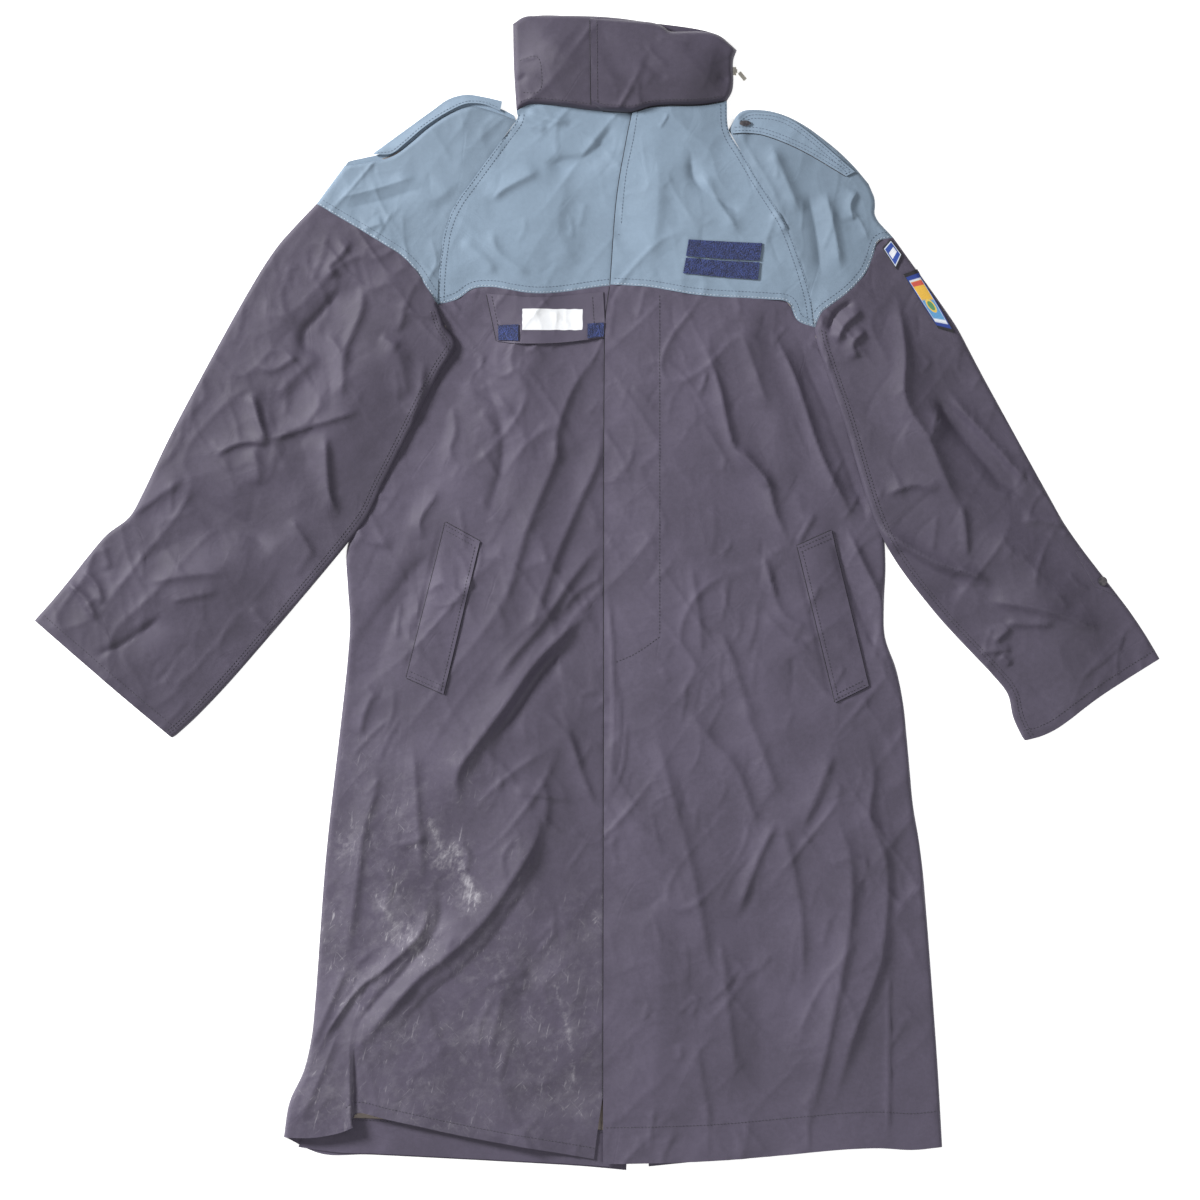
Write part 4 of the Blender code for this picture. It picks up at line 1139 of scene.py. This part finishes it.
# Dried dust on the lower right front: place, how wide and how strong.
DUST_PATCHES = [
    (-172, 338, 24, 0.9), (-150, 296, 20, 0.85), (-215, 255, 40, 0.75), (-228, 300, 46, 0.6),
    (-281, 350, 22, 0.7), (-118, 218, 46, 0.55), (-45, 135, 58, 0.5), (-232, 140, 46, 0.45),
    (-60, 90, 80, 0.4), (-300, 62, 46, 0.45), (-180, 80, 80, 0.4), (-110, 300, 70, 0.25),
    (-18, 270, 34, 0.45), (-270, 200, 50, 0.5), (-210, 400, 50, 0.35), (-270, 430, 40, 0.3),
    (-160, 420, 40, 0.3), (-80, 180, 60, 0.4), (-300, 260, 50, 0.5), (-330, 100, 40, 0.4),
    (-240, 350, 60, 0.45), (-140, 130, 70, 0.45), (-40, 220, 60, 0.35),
]
DUST_STROKES = [
    (0.9, 7, [(-190, 378), (-179, 351)]), (1.0, 9, [(-163, 348), (-152, 318), (-138, 292)]),
    (0.8, 7, [(-245, 290), (-223, 257), (-201, 235)]), (0.7, 6, [(-289, 362), (-273, 340)]),
    (0.8, 5, [(-53, 197), (-38, 147), (-31, 92)]), (0.6, 5, [(-223, 158), (-212, 125)]),
    (0.6, 6, [(-135, 235), (-102, 202)]), (0.6, 5, [(-14, 296), (-6, 257)]),
]


def dust_cover(points, across, up):
    cover = np.zeros(len(points))
    for x, y, size, strength in DUST_PATCHES:
        distance = np.hypot(points[:, 0] - x, points[:, 1] - y) / size
        cover = np.maximum(cover, strength * np.exp(-0.7 * distance * distance))
    for strength, size, path in DUST_STROKES:
        distance = nearest_on_line(points, smooth_line(path, 5))[0] / size
        cover = np.maximum(cover, strength * np.exp(-distance * distance))
    return {"dust": cover}


def inner_side(points, across, up):
    """1 where the coated inner side of the back is seen, above its turned-up hem."""
    x, y = points[:, 0], points[:, 1]
    wedge = (x > -285.0) & (x < -216.0) & (y > 44.0) & (y < 70.0)
    slit = (x > -9.0) & (x < 8.0) & (y > 26.0) & (y < 70.0)
    return {"mark": np.where(wedge | slit, 1.0, 0.0)}


# The plain bar on the name flap: its middle and its half width and height.
BAR_MIDDLE = (-55.5, 928.5)
BAR_HALF = (33.0, 11.5)


def printed_bar(points, across, up):
    """1 inside the bar on the name flap and 0 outside."""
    off = np.abs(points - np.array(BAR_MIDDLE)) - np.array(BAR_HALF)
    return {"mark": 0.5 - np.clip(off.max(axis=1), -0.5, 0.5)}


def shares_of_patch(points, across, up):
    """Where each point lies across and up a patch, from 0 to 1."""
    grid_across, grid_up = np.meshgrid(across, up)
    return {"across": grid_up.ravel(), "up": 1.0 - grid_across.ravel()}


# The flap of the right front at the hem: a fold whose edge overhangs the hem beside it.
PLEAT_FOOT = np.array([-275.0, 47.0])
PLEAT_FADE = (80.0, 165.0)
PLEAT_STEPS = (-14, -11, -8.5, -6.5, -5, -3.8, -2.8, -2, -1.2, -0.4, 0.4, 1.2, 2, 3, 4.5, 6.5, 9)
PLEAT_RISE = 6.5
PLEAT_OVERHANG = 6.0
PLEAT_HALF = 2.4
PLEAT_WIDTH = 2.6
PLEAT_TUCK = 0.45
# How far from the flap's edge, and up to which heights above the hem, the mesh is straightened.
STRAIGHT_REACH = 72.0
STRAIGHT_FADE = (120.0, 240.0)
# How the solid's own pleat rises, which the fold takes the place of.
SOLID_PLEAT = {"x": -275.0, "half": 4.0, "rise": 7.0, "fade": (60.0, 150.0)}


def pleat_at(foot):
    """Distance along the hem at which the flap folds back."""
    reach = np.hypot(*(foot - PLEAT_FOOT).T)
    return lengths_along(foot)[int(np.argmin(reach))]


def pleat_stations(sides):
    foot = sides["foot"]
    total = lengths_along(foot)[-1]
    return [(pleat_at(foot) + step) / total for step in PLEAT_STEPS]


def solid_pleat(points):
    low, high = SOLID_PLEAT["fade"]
    beyond = smooth_step(SOLID_PLEAT["x"] - points[:, 0], -SOLID_PLEAT["half"], SOLID_PLEAT["half"])
    return SOLID_PLEAT["rise"] * beyond * (1.0 - smooth_step(points[:, 1], low, high))


def straightened(grid, foot, across):
    """Moves the mesh so that one of its lines runs straight up under the flap's edge."""
    past = across * lengths_along(foot)[-1] - pleat_at(foot)
    at_edge = np.array([np.interp(0.0, past, row[:, 0]) for row in grid])
    strength = 1.0 - smooth_step(grid[:, :, 1], *STRAIGHT_FADE)
    near = np.clip(1.0 - (past / STRAIGHT_REACH) ** 2, 0.0, 1.0) ** 2
    grid = grid.copy()
    grid[:, :, 0] += (PLEAT_FOOT[0] - at_edge)[:, None] * strength * near[None, :]
    return grid


def folded_pleat(grid, heights, foot, across):
    """Folds the cloth back under the flap's edge along one line of the mesh."""
    total = lengths_along(foot)[-1]
    past = (across * total - pleat_at(foot))[None, :] * np.ones((len(grid), 1))
    strength = 1.0 - smooth_step(grid[:, :, 1], *PLEAT_FADE)
    heights = heights + PLEAT_RISE * strength * (1.0 - smooth_step(past, -PLEAT_HALF, PLEAT_HALF))
    bulge = np.exp(-(((past + PLEAT_HALF) / PLEAT_WIDTH) ** 2))
    bulge -= PLEAT_TUCK * np.exp(-(((past - PLEAT_HALF) / PLEAT_WIDTH) ** 2))
    grid = grid.copy()
    grid[:, :, 0] += PLEAT_OVERHANG * strength * bulge
    return grid, heights


# ---------------------------------------------------------------------------------------------------
# Stitches
# ---------------------------------------------------------------------------------------------------


def inside_line(line, distance, flip=1.0):
    """A line set in from a side by a distance."""
    ahead = np.gradient(line, axis=0)
    ahead /= np.linalg.norm(ahead, axis=1)[:, None]
    return line + flip * distance * np.column_stack([-ahead[:, 1], ahead[:, 0]])


INWARD = {"foot": 1.0, "head": -1.0, "left": 1.0, "right": -1.0}


def beside(node, side, distance, start=0.0, stop=1.0):
    """A line along a side of a piece, at a distance inside it."""
    line = points_at(made[node].sides[side], np.linspace(start, stop, 200))
    return inside_line(line, distance, INWARD[side])


def seam_rows(node, side, distances, start=0.0, stop=1.0):
    """Rows of stitches through a piece along one of its sides."""
    return [(beside(node, side, distance, start, stop), (node,)) for distance in distances]


def top_of(supports, point):
    """Height of the highest of some pieces at a point, or None beside them all."""
    hits = [made[support].tree.ray_cast(Vector((*point, SKY_HIGH)), DOWN)[0] for support in supports]
    return max((hit.z for hit in hits if hit is not None), default=None)


# A stitch that would climb more than this, or be shorter than this, is left out.
STEEPEST = 1.5
SHORTEST = 0.5


def sew(name, runs, finish, thick=0.7, closed_up=False):
    """Rows of small stitches that lie on the cloth, joined into one piece. Closed up, they meet end to end,
    which is how the dark lines of painted edge shade are drawn.
    """
    settings = bpy.context.scene.coat_settings
    long = settings.stitch_length / MM * (1.25 if closed_up else 1.0)
    pitch = settings.stitch_length / MM + (0.0 if closed_up else settings.stitch_gap / MM)
    gathered = bmesh.new()
    for line, supports in runs:
        mesh = bmesh.new()
        line = np.array(line, float)
        if 2 < len(line) < 20:
            line = smooth_line(line, 12)
        total = lengths_along(line)[-1]
        for index in range(int(total / pitch)):
            ends = points_at(line, [(index * pitch) / total, min(1.0, (index * pitch + long) / total)])
            heights = [top_of(supports, end) for end in ends]
            if None in heights:
                continue
            first, last = (Vector((*end, height)) for end, height in zip(ends, heights))
            way = last - first
            if abs(way.z) > STEEPEST or way.length < SHORTEST:
                continue
            middle = (first + last) / 2 + Vector((ANCHOR.x, ANCHOR.y, thick * 0.3))
            matrix = Matrix.Translation(middle * MM) @ way.to_track_quat("X", "Z").to_matrix().to_4x4()
            matrix = matrix @ Matrix.Diagonal((way.length * MM / 2, thick * MM / 2, thick * MM / 2, 1.0))
            bmesh.ops.create_uvsphere(mesh, u_segments=6, v_segments=4, radius=1.0, matrix=matrix)
        row = bpy.data.meshes.new("row of stitches")
        mesh.to_mesh(row)
        mesh.free()
        gathered.from_mesh(row)
        bpy.data.meshes.remove(row)
    add_piece(name, gathered, [finish_named(finish)])


# ---------------------------------------------------------------------------------------------------
# Operators: one for each piece or group of like pieces
# ---------------------------------------------------------------------------------------------------


# Size of a mesh cell on the yokes and caps, and that of a sleeve beside that of a front.
YOKE_CELL = 2.6
SLEEVE_CELL = 0.86


class COAT_OT_backs(bpy.types.Operator):
    """Back panels and back yoke, the turned-up hem, and the backs of the sleeves"""

    bl_idname = "coat.backs"
    bl_label = "Backs"

    def execute(self, context):
        slate, reverse, sky = (finish_named(name) for name in ("slate cloth", "reverse", "sky cloth"))
        make_sheet(
            "back_right_body", [(-351, 30), (26, -7), (41, 953), (-182, 945)], 8.0, (392, 972, 0.303),
            "slate_cloth", finish_named("slate cloth back"), reverse, sewn=("head",), crumple=0.25, seed=11,
            outset=-0.3, blur=2, marks=inner_side,
        )
        make_sheet(
            "back_left_body", [(50, -3), (373, 19), (233, 920), (41, 953)], 8.0, (340, 962, 0.266),
            "slate_cloth", slate, reverse, sewn=("head",), crumple=0.25, seed=12, outset=-0.3, blur=2,
        )
        make_sheet(
            "back_yoke", [(-182, 945), (233, 920), (138, 1137), (-95, 1148)], 6.0, (416, 240, 0.0663),
            "sky_cloth", sky, reverse, sewn=("foot",), crumple=0.25, seed=13, outset=-0.5, blur=2,
        )
        make_sheet(
            "back_hem_turn_up", [(-335, 19), (22, -4), (22, 36), (-322, 52)], 4.0, (358, 40, 0.0135),
            "slate_cloth", slate, slate, over=("back_right_body",), crumple=0.3, seed=14, conform=0.3,
            thick=0.7, blur=2, outset=0.0, keep_above=0.1,
        )
        return {"FINISHED"}


class COAT_OT_fronts(bpy.types.Operator):
    """Both fronts and their yokes, with the drags, the long folds and the flap at the hem"""

    bl_idname = "coat.fronts"
    bl_label = "Fronts and yokes"

    def execute(self, context):
        cell = context.scene.coat_settings.cell / MM
        # The right front takes real dust and painted shade.
        slate, dusty = finish_named("slate cloth"), finish_named("slate cloth dusty")
        sky, reverse = finish_named("sky cloth"), finish_named("reverse")
        backs = ("back_right_body", "back_left_body", "back_yoke")
        make_sheet(
            "front_right_body", [(-351, 30), (-10, 6), (54, 968), (-182, 945)], cell, (405, 972, 0.300),
            "slate_cloth", dusty, reverse, folded=("right",), sewn=("head",),
            over=("back_right_body", "back_left_body", "back_hem_turn_up"), creases=RIGHT_FRONT_CREASES,
            seed=21, unfolded_above=901.0, pleat=True, marks=dust_cover, edge_on="back_right_body", blur=14,
        )
        make_sheet(
            "front_right_yoke", [(-182, 945), (54, 968), (76, 1172), (-95, 1158)], YOKE_CELL,
            (260, 228, 0.0426), "sky_cloth", sky, reverse, sewn=("foot", "right"), over=("back_yoke",),
            creases=YOKE_RIGHT_CREASES, crumple=0.7, seed=22, blur=16,
        )
        make_sheet(
            "front_left_body", [(0, 1), (373, 19), (233, 920), (8, 967)], cell, (375, 970, 0.306),
            "slate_cloth", slate, reverse, folded=("left",), sewn=("head",),
            over=("back_left_body", "back_right_body", "front_right_body"), creases=LEFT_FRONT_CREASES,
            seed=23, unfolded_above=901.0, edge_on="back_left_body", blur=14,
        )
        make_sheet(
            "front_left_yoke", [(8, 967), (233, 920), (136, 1169), (32, 1155)], YOKE_CELL,
            (228, 252, 0.0345), "sky_cloth", sky, reverse, sewn=("foot", "left"),
            over=("back_yoke", "front_right_yoke"), creases=YOKE_LEFT_CREASES, crumple=0.7, seed=24, blur=16,
        )
        return {"FINISHED"}


class COAT_OT_sleeves(bpy.types.Operator):
    """Raglan sleeves and their caps, back and front"""

    bl_idname = "coat.sleeves"
    bl_label = "Sleeves"

    def execute(self, context):
        cell = context.scene.coat_settings.cell / MM * SLEEVE_CELL
        sky, reverse = finish_named("sky cloth"), finish_named("reverse")
        # Darker sky cloth for the fronts of the caps: painted shade.
        shaded_cap_cloth = finish_named("sky cloth cap")
        corners = {
            "sleeve_right": [(-625, 598), (-474, 469), (-182, 945), (-315, 1056)],
            "sleeve_left": [(464, 466), (612, 556), (319, 1019), (233, 920)],
            "cap_right": [(-315, 1056), (-182, 945), (-95, 1148), (-284, 1098)],
            "cap_left": [(233, 920), (319, 1019), (292, 1078), (138, 1137)],
        }
        cuts = {
            "sleeve_right": (250, 590, 0.1218),
            "sleeve_left": (205, 560, 0.0869),
            "cap_right": (200, 180, 0.0187),
            "cap_left": (180, 220, 0.0194),
        }
        for side, creases, cap_creases, seed in (
            ("right", RIGHT_SLEEVE_CREASES, CAP_RIGHT_CREASES, 31),
            ("left", LEFT_SLEEVE_CREASES, CAP_LEFT_CREASES, 41),
        ):
            # Each sleeve's slate cloth is a darker copy: painted shade.
            slate = finish_named(f"slate cloth {side} sleeve")
            body = (f"front_{side}_body", f"back_{side}_body")
            back, front = f"sleeve_{side}_back", f"sleeve_{side}_front"
            cap_back, cap_front = f"sleeve_{side}_cap_back", f"sleeve_{side}_cap_front"
            outer, inner = ("right", "left") if side == "right" else ("left", "right")
            sleeve_cut, cap_cut = cuts[f"sleeve_{side}"], cuts[f"cap_{side}"]
            cap_reach = {"head": 7.0} if side == "right" else None
            make_sheet(
                back, corners[f"sleeve_{side}"], 6.0, sleeve_cut, "slate_cloth", slate, reverse,
                sewn=("head",), over=body, crumple=0.3, seed=seed, outset=-0.3, blur=4, keep_above=0.15,
            )
            make_sheet(
                cap_back, corners[f"cap_{side}"], 6.0, cap_cut, "sky_cloth", sky, reverse,
                crumple=0.2, seed=seed + 1, outset=-0.3, blur=3, reach=cap_reach,
            )
            make_sheet(
                front, corners[f"sleeve_{side}"], cell, sleeve_cut, "slate_cloth", slate, reverse,
                folded=("right", "left"), sewn=("head",), over=(back, *body), creases=creases, crumple=1.2,
                seed=seed + 2, edge_on=back, blur=14, reach={inner: 1.6},
            )
            make_sheet(
                cap_front, corners[f"cap_{side}"], YOKE_CELL, cap_cut, "sky_cloth", shaded_cap_cloth, reverse,
                folded=("head", outer), sewn=("foot", inner), over=(cap_back,), creases=cap_creases,
                crumple=0.8, seed=seed + 3, edge_on=cap_back, blur=12,
            )
        return {"FINISHED"}


class COAT_OT_collar(bpy.types.Operator):
    """Stand collar, padded by the hood that is rolled up inside"""

    bl_idname = "coat.collar"
    bl_label = "Collar"

    def execute(self, context):
        slate, reverse = finish_named("slate cloth collar"), finish_named("reverse")
        make_sheet(
            "collar_back", [(-95, 1148), (138, 1137), (147, 1225), (-99, 1255)], 5.0, (252, 126, 0.0279),
            "slate_cloth", slate, reverse, crumple=0.2, seed=51, outset=-1.0, blur=1,
        )
        make_sheet(
            "collar_right", [(-95, 1158), (76, 1172), (76, 1245), (-99, 1254)], 2.4, (182, 104, 0.0167),
            "slate_cloth", slate, reverse, folded=("head", "right", "foot"),
            over=("collar_back", "front_right_yoke"), creases=COLLAR_RIGHT_CREASES, crumple=0.8, seed=52,
            edge_on="collar_back", blur=30, thick=1.2,
        )
        make_sheet(
            "collar_left", [(-13, 1163), (136, 1169), (147, 1225), (-14, 1261)], 2.4, (166, 104, 0.0138),
            "slate_cloth", slate, reverse, folded=("head", "left", "foot"),
            over=("collar_back", "collar_right", "front_left_yoke", "front_right_yoke"),
            creases=COLLAR_CREASES, crumple=0.9, seed=53, edge_on="collar_back", blur=20, thick=1.2,
        )
        return {"FINISHED"}


class COAT_OT_trims(bpy.types.Operator):
    """Pocket welts, name flap, loop tapes, cuff tab and shoulder straps"""

    bl_idname = "coat.trims"
    bl_label = "Trims"

    def execute(self, context):
        slate, sky = finish_named("slate cloth"), finish_named("sky cloth")
        navy = finish_named("navy pile")
        left_sleeve = finish_named("slate cloth left sleeve")
        welt = {"thick": 1.4, "scattered": False}
        flap = {"marks": printed_bar, "cell": 1.3, "scattered": False, "blur": 60}
        for node, corners, cut, slot, finish, over, options in (
            ("pocket_welt_right", [(-216, 535), (-175, 517), (-135, 685), (-173, 706)], (45, 178, 0.0072),
             "slate_cloth", slate, ("front_right_body",), {"creases": WELT_RIGHT_CREASES, **welt}),
            ("pocket_welt_left", [(255, 508), (292, 526), (251, 697), (213, 680)], (42, 180, 0.0075),
             "slate_cloth", slate, ("front_left_body",), {"creases": WELT_LEFT_CREASES, **welt}),
            ("name_flap", [(-117, 905), (3, 909), (0, 959), (-128, 957)], (131, 55, 0.0063),
             "slate_cloth", finish_named("name flap"), ("front_right_body", "front_right_yoke"),
             {"creases": FLAP_CREASES, **flap}),
            ("flap_loop_pad_right", [(-115, 906), (-93, 905), (-93, 923), (-115, 922)], (23, 18, 0.0004),
             "loop_pile", navy, ("name_flap",), {"thick": 1.3}),
            ("flap_loop_pad_left", [(-17, 908), (1, 910), (1, 925), (-17, 924)], (19, 16, 0.0003),
             "loop_pile", navy, ("name_flap",), {"thick": 1.3}),
            ("chest_loop_lower", [(88, 979), (170, 972), (172, 991), (91, 996)], (83, 19, 0.0015),
             "loop_pile", navy, ("front_left_yoke",), {"thick": 1.4}),
            ("chest_loop_upper", [(91, 998), (172, 993), (175, 1012), (94, 1016)], (83, 19, 0.0015),
             "loop_pile", navy, ("front_left_yoke",), {"thick": 1.4}),
            ("cuff_tab", [(519, 674), (540, 636), (564, 625), (526, 675)], (50, 16, 0.0005),
             "slate_cloth", left_sleeve, ("sleeve_left_front",), {}),
            ("epaulette_left", [(142, 1133), (267, 1086), (277, 1091), (146, 1146)], (150, 30, 0.0028),
             "sky_cloth", sky, ("sleeve_left_cap_front", "front_left_yoke"), {"thick": 1.5, "conform": 0.5}),
        ):
            values = {"cell": 1.6, "thick": 0.9, "conform": 0.25, "crumple": 0.15, "blur": 3, **options}
            cell = values.pop("cell")
            make_sheet(
                node, corners, cell, cut, slot, finish, finish, over=over, seed=60, outset=0.0, **values
            )
        make_sheet(
            "epaulette_right", [(-252, 1110), (-113, 1158), (-111, 1169), (-252, 1112)], 1.6,
            (160, 16, 0.0016), "sky_cloth", sky, sky, crumple=0.3, seed=70, outset=0.0, blur=2,
        )
        return {"FINISHED"}


class COAT_OT_badges(bpy.types.Operator):
    """Sleeve patches with plain heraldic fields and no wording"""

    bl_idname = "coat.badges"
    bl_label = "Sleeve patches"

    def execute(self, context):
        twill = finish_named("black twill")
        for node, corners, moves, cut, finish in (
            ("sleeve_badge", [(332, 963), (367, 914), (385, 922), (342, 985)],
             [(-2, 15), (1, 5), (1, -8), (3, -1)], (83, 20, 0.0014), "shield"),
            ("sleeve_title", [(307, 1008), (316, 987), (334, 993), (324, 1009)],
             [(0, -1), (6, -3), (-5, 7), (-8, 8)], (28, 17, 0.0004), "arc"),
        ):
            make_sheet(
                node, corners, 0.8, cut, "badge_cloth", finish_named(finish), twill,
                over=("sleeve_left_front",), thick=1.1, conform=0.3, crumple=0.1, seed=80, outset=0.0,
                blur=3, marks=shares_of_patch, edge=twill, moves=moves,
            )
        return {"FINISHED"}


class COAT_OT_fittings(bpy.types.Operator):
    """Buttons, and the hood's zip with its tape, slider and pull"""

    bl_idname = "coat.fittings"
    bl_label = "Buttons and zip"

    def execute(self, context):
        horn, metal, twill = (finish_named(name) for name in ("horn", "zip metal", "black twill"))
        for node, finish in (
            ("epaulette_button", horn),
            ("cuff_button", horn),
            ("hood_zip_slider", metal),
            ("hood_zip_pull", metal),
        ):
            data = frame["nodes"][node].data
            data.materials.clear()
            data.materials.append(finish)
        make_sheet(
            "hood_zip_tape", [(-92, 1192), (138, 1192), (138, 1212), (-92, 1212)], 2.0, (230, 20, 0.0046),
            "zip_tape", twill, twill, crumple=0.05, seed=90, outset=0.0, blur=1, thick=0.8,
        )
        return {"FINISHED"}


FRONT_SEAMS = ("front_right_yoke", "front_left_yoke", "sleeve_right_cap_front", "sleeve_left_cap_front")
# Rows of stitches: piece, side, distances inside it and, where they don't run its whole length, from
# which share of it to which.
DARK_ROWS = (
    *((node, "foot", (7.0,)) for node in FRONT_SEAMS),
    ("front_right_yoke", "right", (1.6, 7.0)),
    ("front_left_yoke", "left", (1.6, 7.0)),
    ("epaulette_left", "foot", (2.6, 6.5), 0.02, 0.98),
    ("epaulette_left", "head", (2.6, 6.5), 0.02, 0.98),
    ("epaulette_left", "left", (2.5, 18.0, 21.0)),
    ("epaulette_right", "foot", (2.4,)),
)
SLATE_ROWS = (
    ("front_left_body", "foot", (40.0,)),
    ("front_right_body", "foot", (12.0,), 0.25, 1.0),
    ("sleeve_right_front", "left", (6.6, 9.9)),
    ("sleeve_right_front", "foot", (11.0,)),
    ("sleeve_left_front", "foot", (11.0,)),
    ("sleeve_left_front", "right", (7.0, 10.5)),
    ("collar_left", "right", (7.0,), 0.03, 0.97),
    ("collar_left", "foot", (6.0,)),
    ("collar_right", "foot", (6.0,), 0.0, 0.5),
    ("back_hem_turn_up", "head", (2.0,)),
    ("pocket_welt_right", "foot", (3.0, 8.0), 0.02, 0.98),
    ("pocket_welt_right", "head", (3.0, 8.0), 0.02, 0.98),
    ("pocket_welt_right", "left", (4.0,), 0.02, 0.98),
    ("pocket_welt_left", "foot", (3.0, 8.0), 0.02, 0.98),
    ("pocket_welt_left", "head", (3.0, 8.0), 0.02, 0.98),
    ("pocket_welt_left", "right", (4.0,), 0.02, 0.98),
    ("name_flap", "right", (5.0,), 0.02, 0.98),
    ("name_flap", "left", (12.0,), 0.02, 0.98),
)
# Rows that follow no side: the placket's fold on the yoke with its buttonhole, the zip's box on the
# collar, and the placket below the yoke.
DARK_PATHS = (
    ([(38, 1157), (33, 1126), (26, 1093), (22, 1060), (20, 1033)], ("front_left_yoke",)),
    ([(16, 1022), (21, 1021)], ("front_left_yoke",)),
)
SLATE_PATHS = (
    ([(-92, 1213), (-71, 1215), (-69, 1180), (-92, 1178)], ("collar_right",)),
    ([(62, 955), (62, 760), (62, 580)], ("front_left_body",)),
    ([(62, 580), (36, 562), (11, 551)], ("front_left_body",)),
)
# Painted shade where an edge meets the cloth beside it: piece, side, distance and the pieces it lies on.
RIGHT_FRONT = ("front_right_body", "front_right_yoke")
EDGE_SHADE = (
    ("front_left_body", "right", -0.5, RIGHT_FRONT),
    ("front_left_yoke", "right", -0.5, RIGHT_FRONT),
    ("collar_left", "right", -0.5, ("collar_right", "front_right_yoke")),
    ("collar_left", "foot", -0.4, ("front_left_yoke", "front_right_yoke")),
    ("name_flap", "right", -0.4, RIGHT_FRONT),
    ("epaulette_left", "foot", -0.4, ("sleeve_left_cap_front", "front_left_yoke")),
    *(("pocket_welt_right", side, -0.4, ("front_right_body",)) for side in INWARD),
    *(("pocket_welt_left", side, -0.4, ("front_left_body",)) for side in INWARD),
)


class COAT_OT_stitching(bpy.types.Operator):
    """Topstitching along the seams, edges, welts and hems, and dark lines of painted shade where edges meet
    the cloth below
    """

    bl_idname = "coat.stitching"
    bl_label = "Stitching"

    def execute(self, context):
        pale = [line for node in FRONT_SEAMS for line in seam_rows(node, "foot", (1.6,))]
        dark = [line for row in DARK_ROWS for line in seam_rows(*row)]
        slate = [line for row in SLATE_ROWS for line in seam_rows(*row)]
        shade = [(beside(node, side, distance), below) for node, side, distance, below in EDGE_SHADE]
        # Closed-up rows of very dark stitches along the overlapping edges: painted shade.
        sew("edge_piping", shade, "contact shade", 0.9, True)
        sew("yoke_edge_stitching", pale, "pale thread")
        sew("yoke_topstitching", [*dark, *DARK_PATHS], "dark thread", 0.6)
        sew("shell_topstitching", [*slate, *SLATE_PATHS], "slate thread", 0.75)
        return {"FINISHED"}


FLOOR_SIZE = 12.0
FLOOR_GLOW = 0.6
FLOOR_AT = -0.0005
WORLD_LIGHT = 0.28
LIGHTS = [
    ("key", (-3.4, 1.9, 2.1), 1.2, 330.0),
    ("fill", (1.8, -1.6, 3.6), 3.0, 60.0),
]
SENSOR = 36.0
CAMERA_HEIGHT = 5.0
VIEW_WIDTH = 1.32
VIEW_CENTRE = (0.0032, -0.0083)


class COAT_OT_stage(bpy.types.Operator):
    """Pale floor, soft light from the upper left and the camera straight above"""

    bl_idname = "coat.stage"
    bl_label = "Stage"

    def execute(self, context):
        scene = context.scene
        mesh = bmesh.new()
        bmesh.ops.create_grid(mesh, x_segments=4, y_segments=4, size=FLOOR_SIZE / 2)
        data = bpy.data.meshes.new("floor")
        mesh.to_mesh(data)
        mesh.free()
        data.materials.append(finish_named("floor"))
        floor = bpy.data.objects.new("floor", data)
        floor.location = (0.0, 0.0, FLOOR_AT)
        scene.collection.objects.link(floor)

        world = bpy.data.worlds.new("studio")
        world.use_nodes = True
        background = world.node_tree.nodes["Background"]
        background.inputs["Color"].default_value = (1.0, 1.0, 1.0, 1.0)
        background.inputs["Strength"].default_value = WORLD_LIGHT
        scene.world = world
        scene.view_settings.view_transform = "Standard"

        for name, place, size, power in LIGHTS:
            light = bpy.data.lights.new(name, "AREA")
            light.shape = "DISK"
            light.size = size
            light.energy = power
            lamp = bpy.data.objects.new(name, light)
            lamp.location = place
            lamp.rotation_euler = (-Vector(place)).to_track_quat("-Z", "Y").to_euler()
            scene.collection.objects.link(lamp)

        camera = bpy.data.cameras.new("camera")
        camera.sensor_width = SENSOR
        camera.lens = SENSOR * CAMERA_HEIGHT / VIEW_WIDTH
        camera.clip_end = 50.0
        seat = bpy.data.objects.new("camera", camera)
        seat.location = (*VIEW_CENTRE, CAMERA_HEIGHT)
        scene.collection.objects.link(seat)
        scene.camera = seat
        return {"FINISHED"}


class COAT_PT_panel(bpy.types.Panel):
    """Lists the pieces of the raincoat"""

    bl_label = "Raincoat"
    bl_idname = "COAT_PT_panel"
    bl_space_type = "VIEW_3D"
    bl_region_type = "UI"
    bl_category = "Raincoat"

    def draw(self, context):
        for operator in OPERATORS:
            self.layout.operator(operator.bl_idname)
        for name in CoatSettings.__annotations__:
            self.layout.prop(context.scene.coat_settings, name)


OPERATORS = (
    COAT_OT_backs,
    COAT_OT_fronts,
    COAT_OT_sleeves,
    COAT_OT_collar,
    COAT_OT_trims,
    COAT_OT_badges,
    COAT_OT_fittings,
    COAT_OT_stitching,
    COAT_OT_stage,
)


def register():
    for item in (CoatSettings, *OPERATORS, COAT_PT_panel):
        bpy.utils.register_class(item)
    bpy.types.Scene.coat_settings = bpy.props.PointerProperty(type=CoatSettings)


def unregister():
    del bpy.types.Scene.coat_settings
    for item in (COAT_PT_panel, *reversed(OPERATORS), CoatSettings):
        bpy.utils.unregister_class(item)


def main():
    register()
    for thing in list(bpy.data.objects):
        if thing.name in ("Cube", "Light", "Camera"):
            bpy.data.objects.remove(thing)
    for operator in OPERATORS:
        group, name = operator.bl_idname.split(".")
        getattr(getattr(bpy.ops, group), name)()


if __name__ == "__main__":
    main()
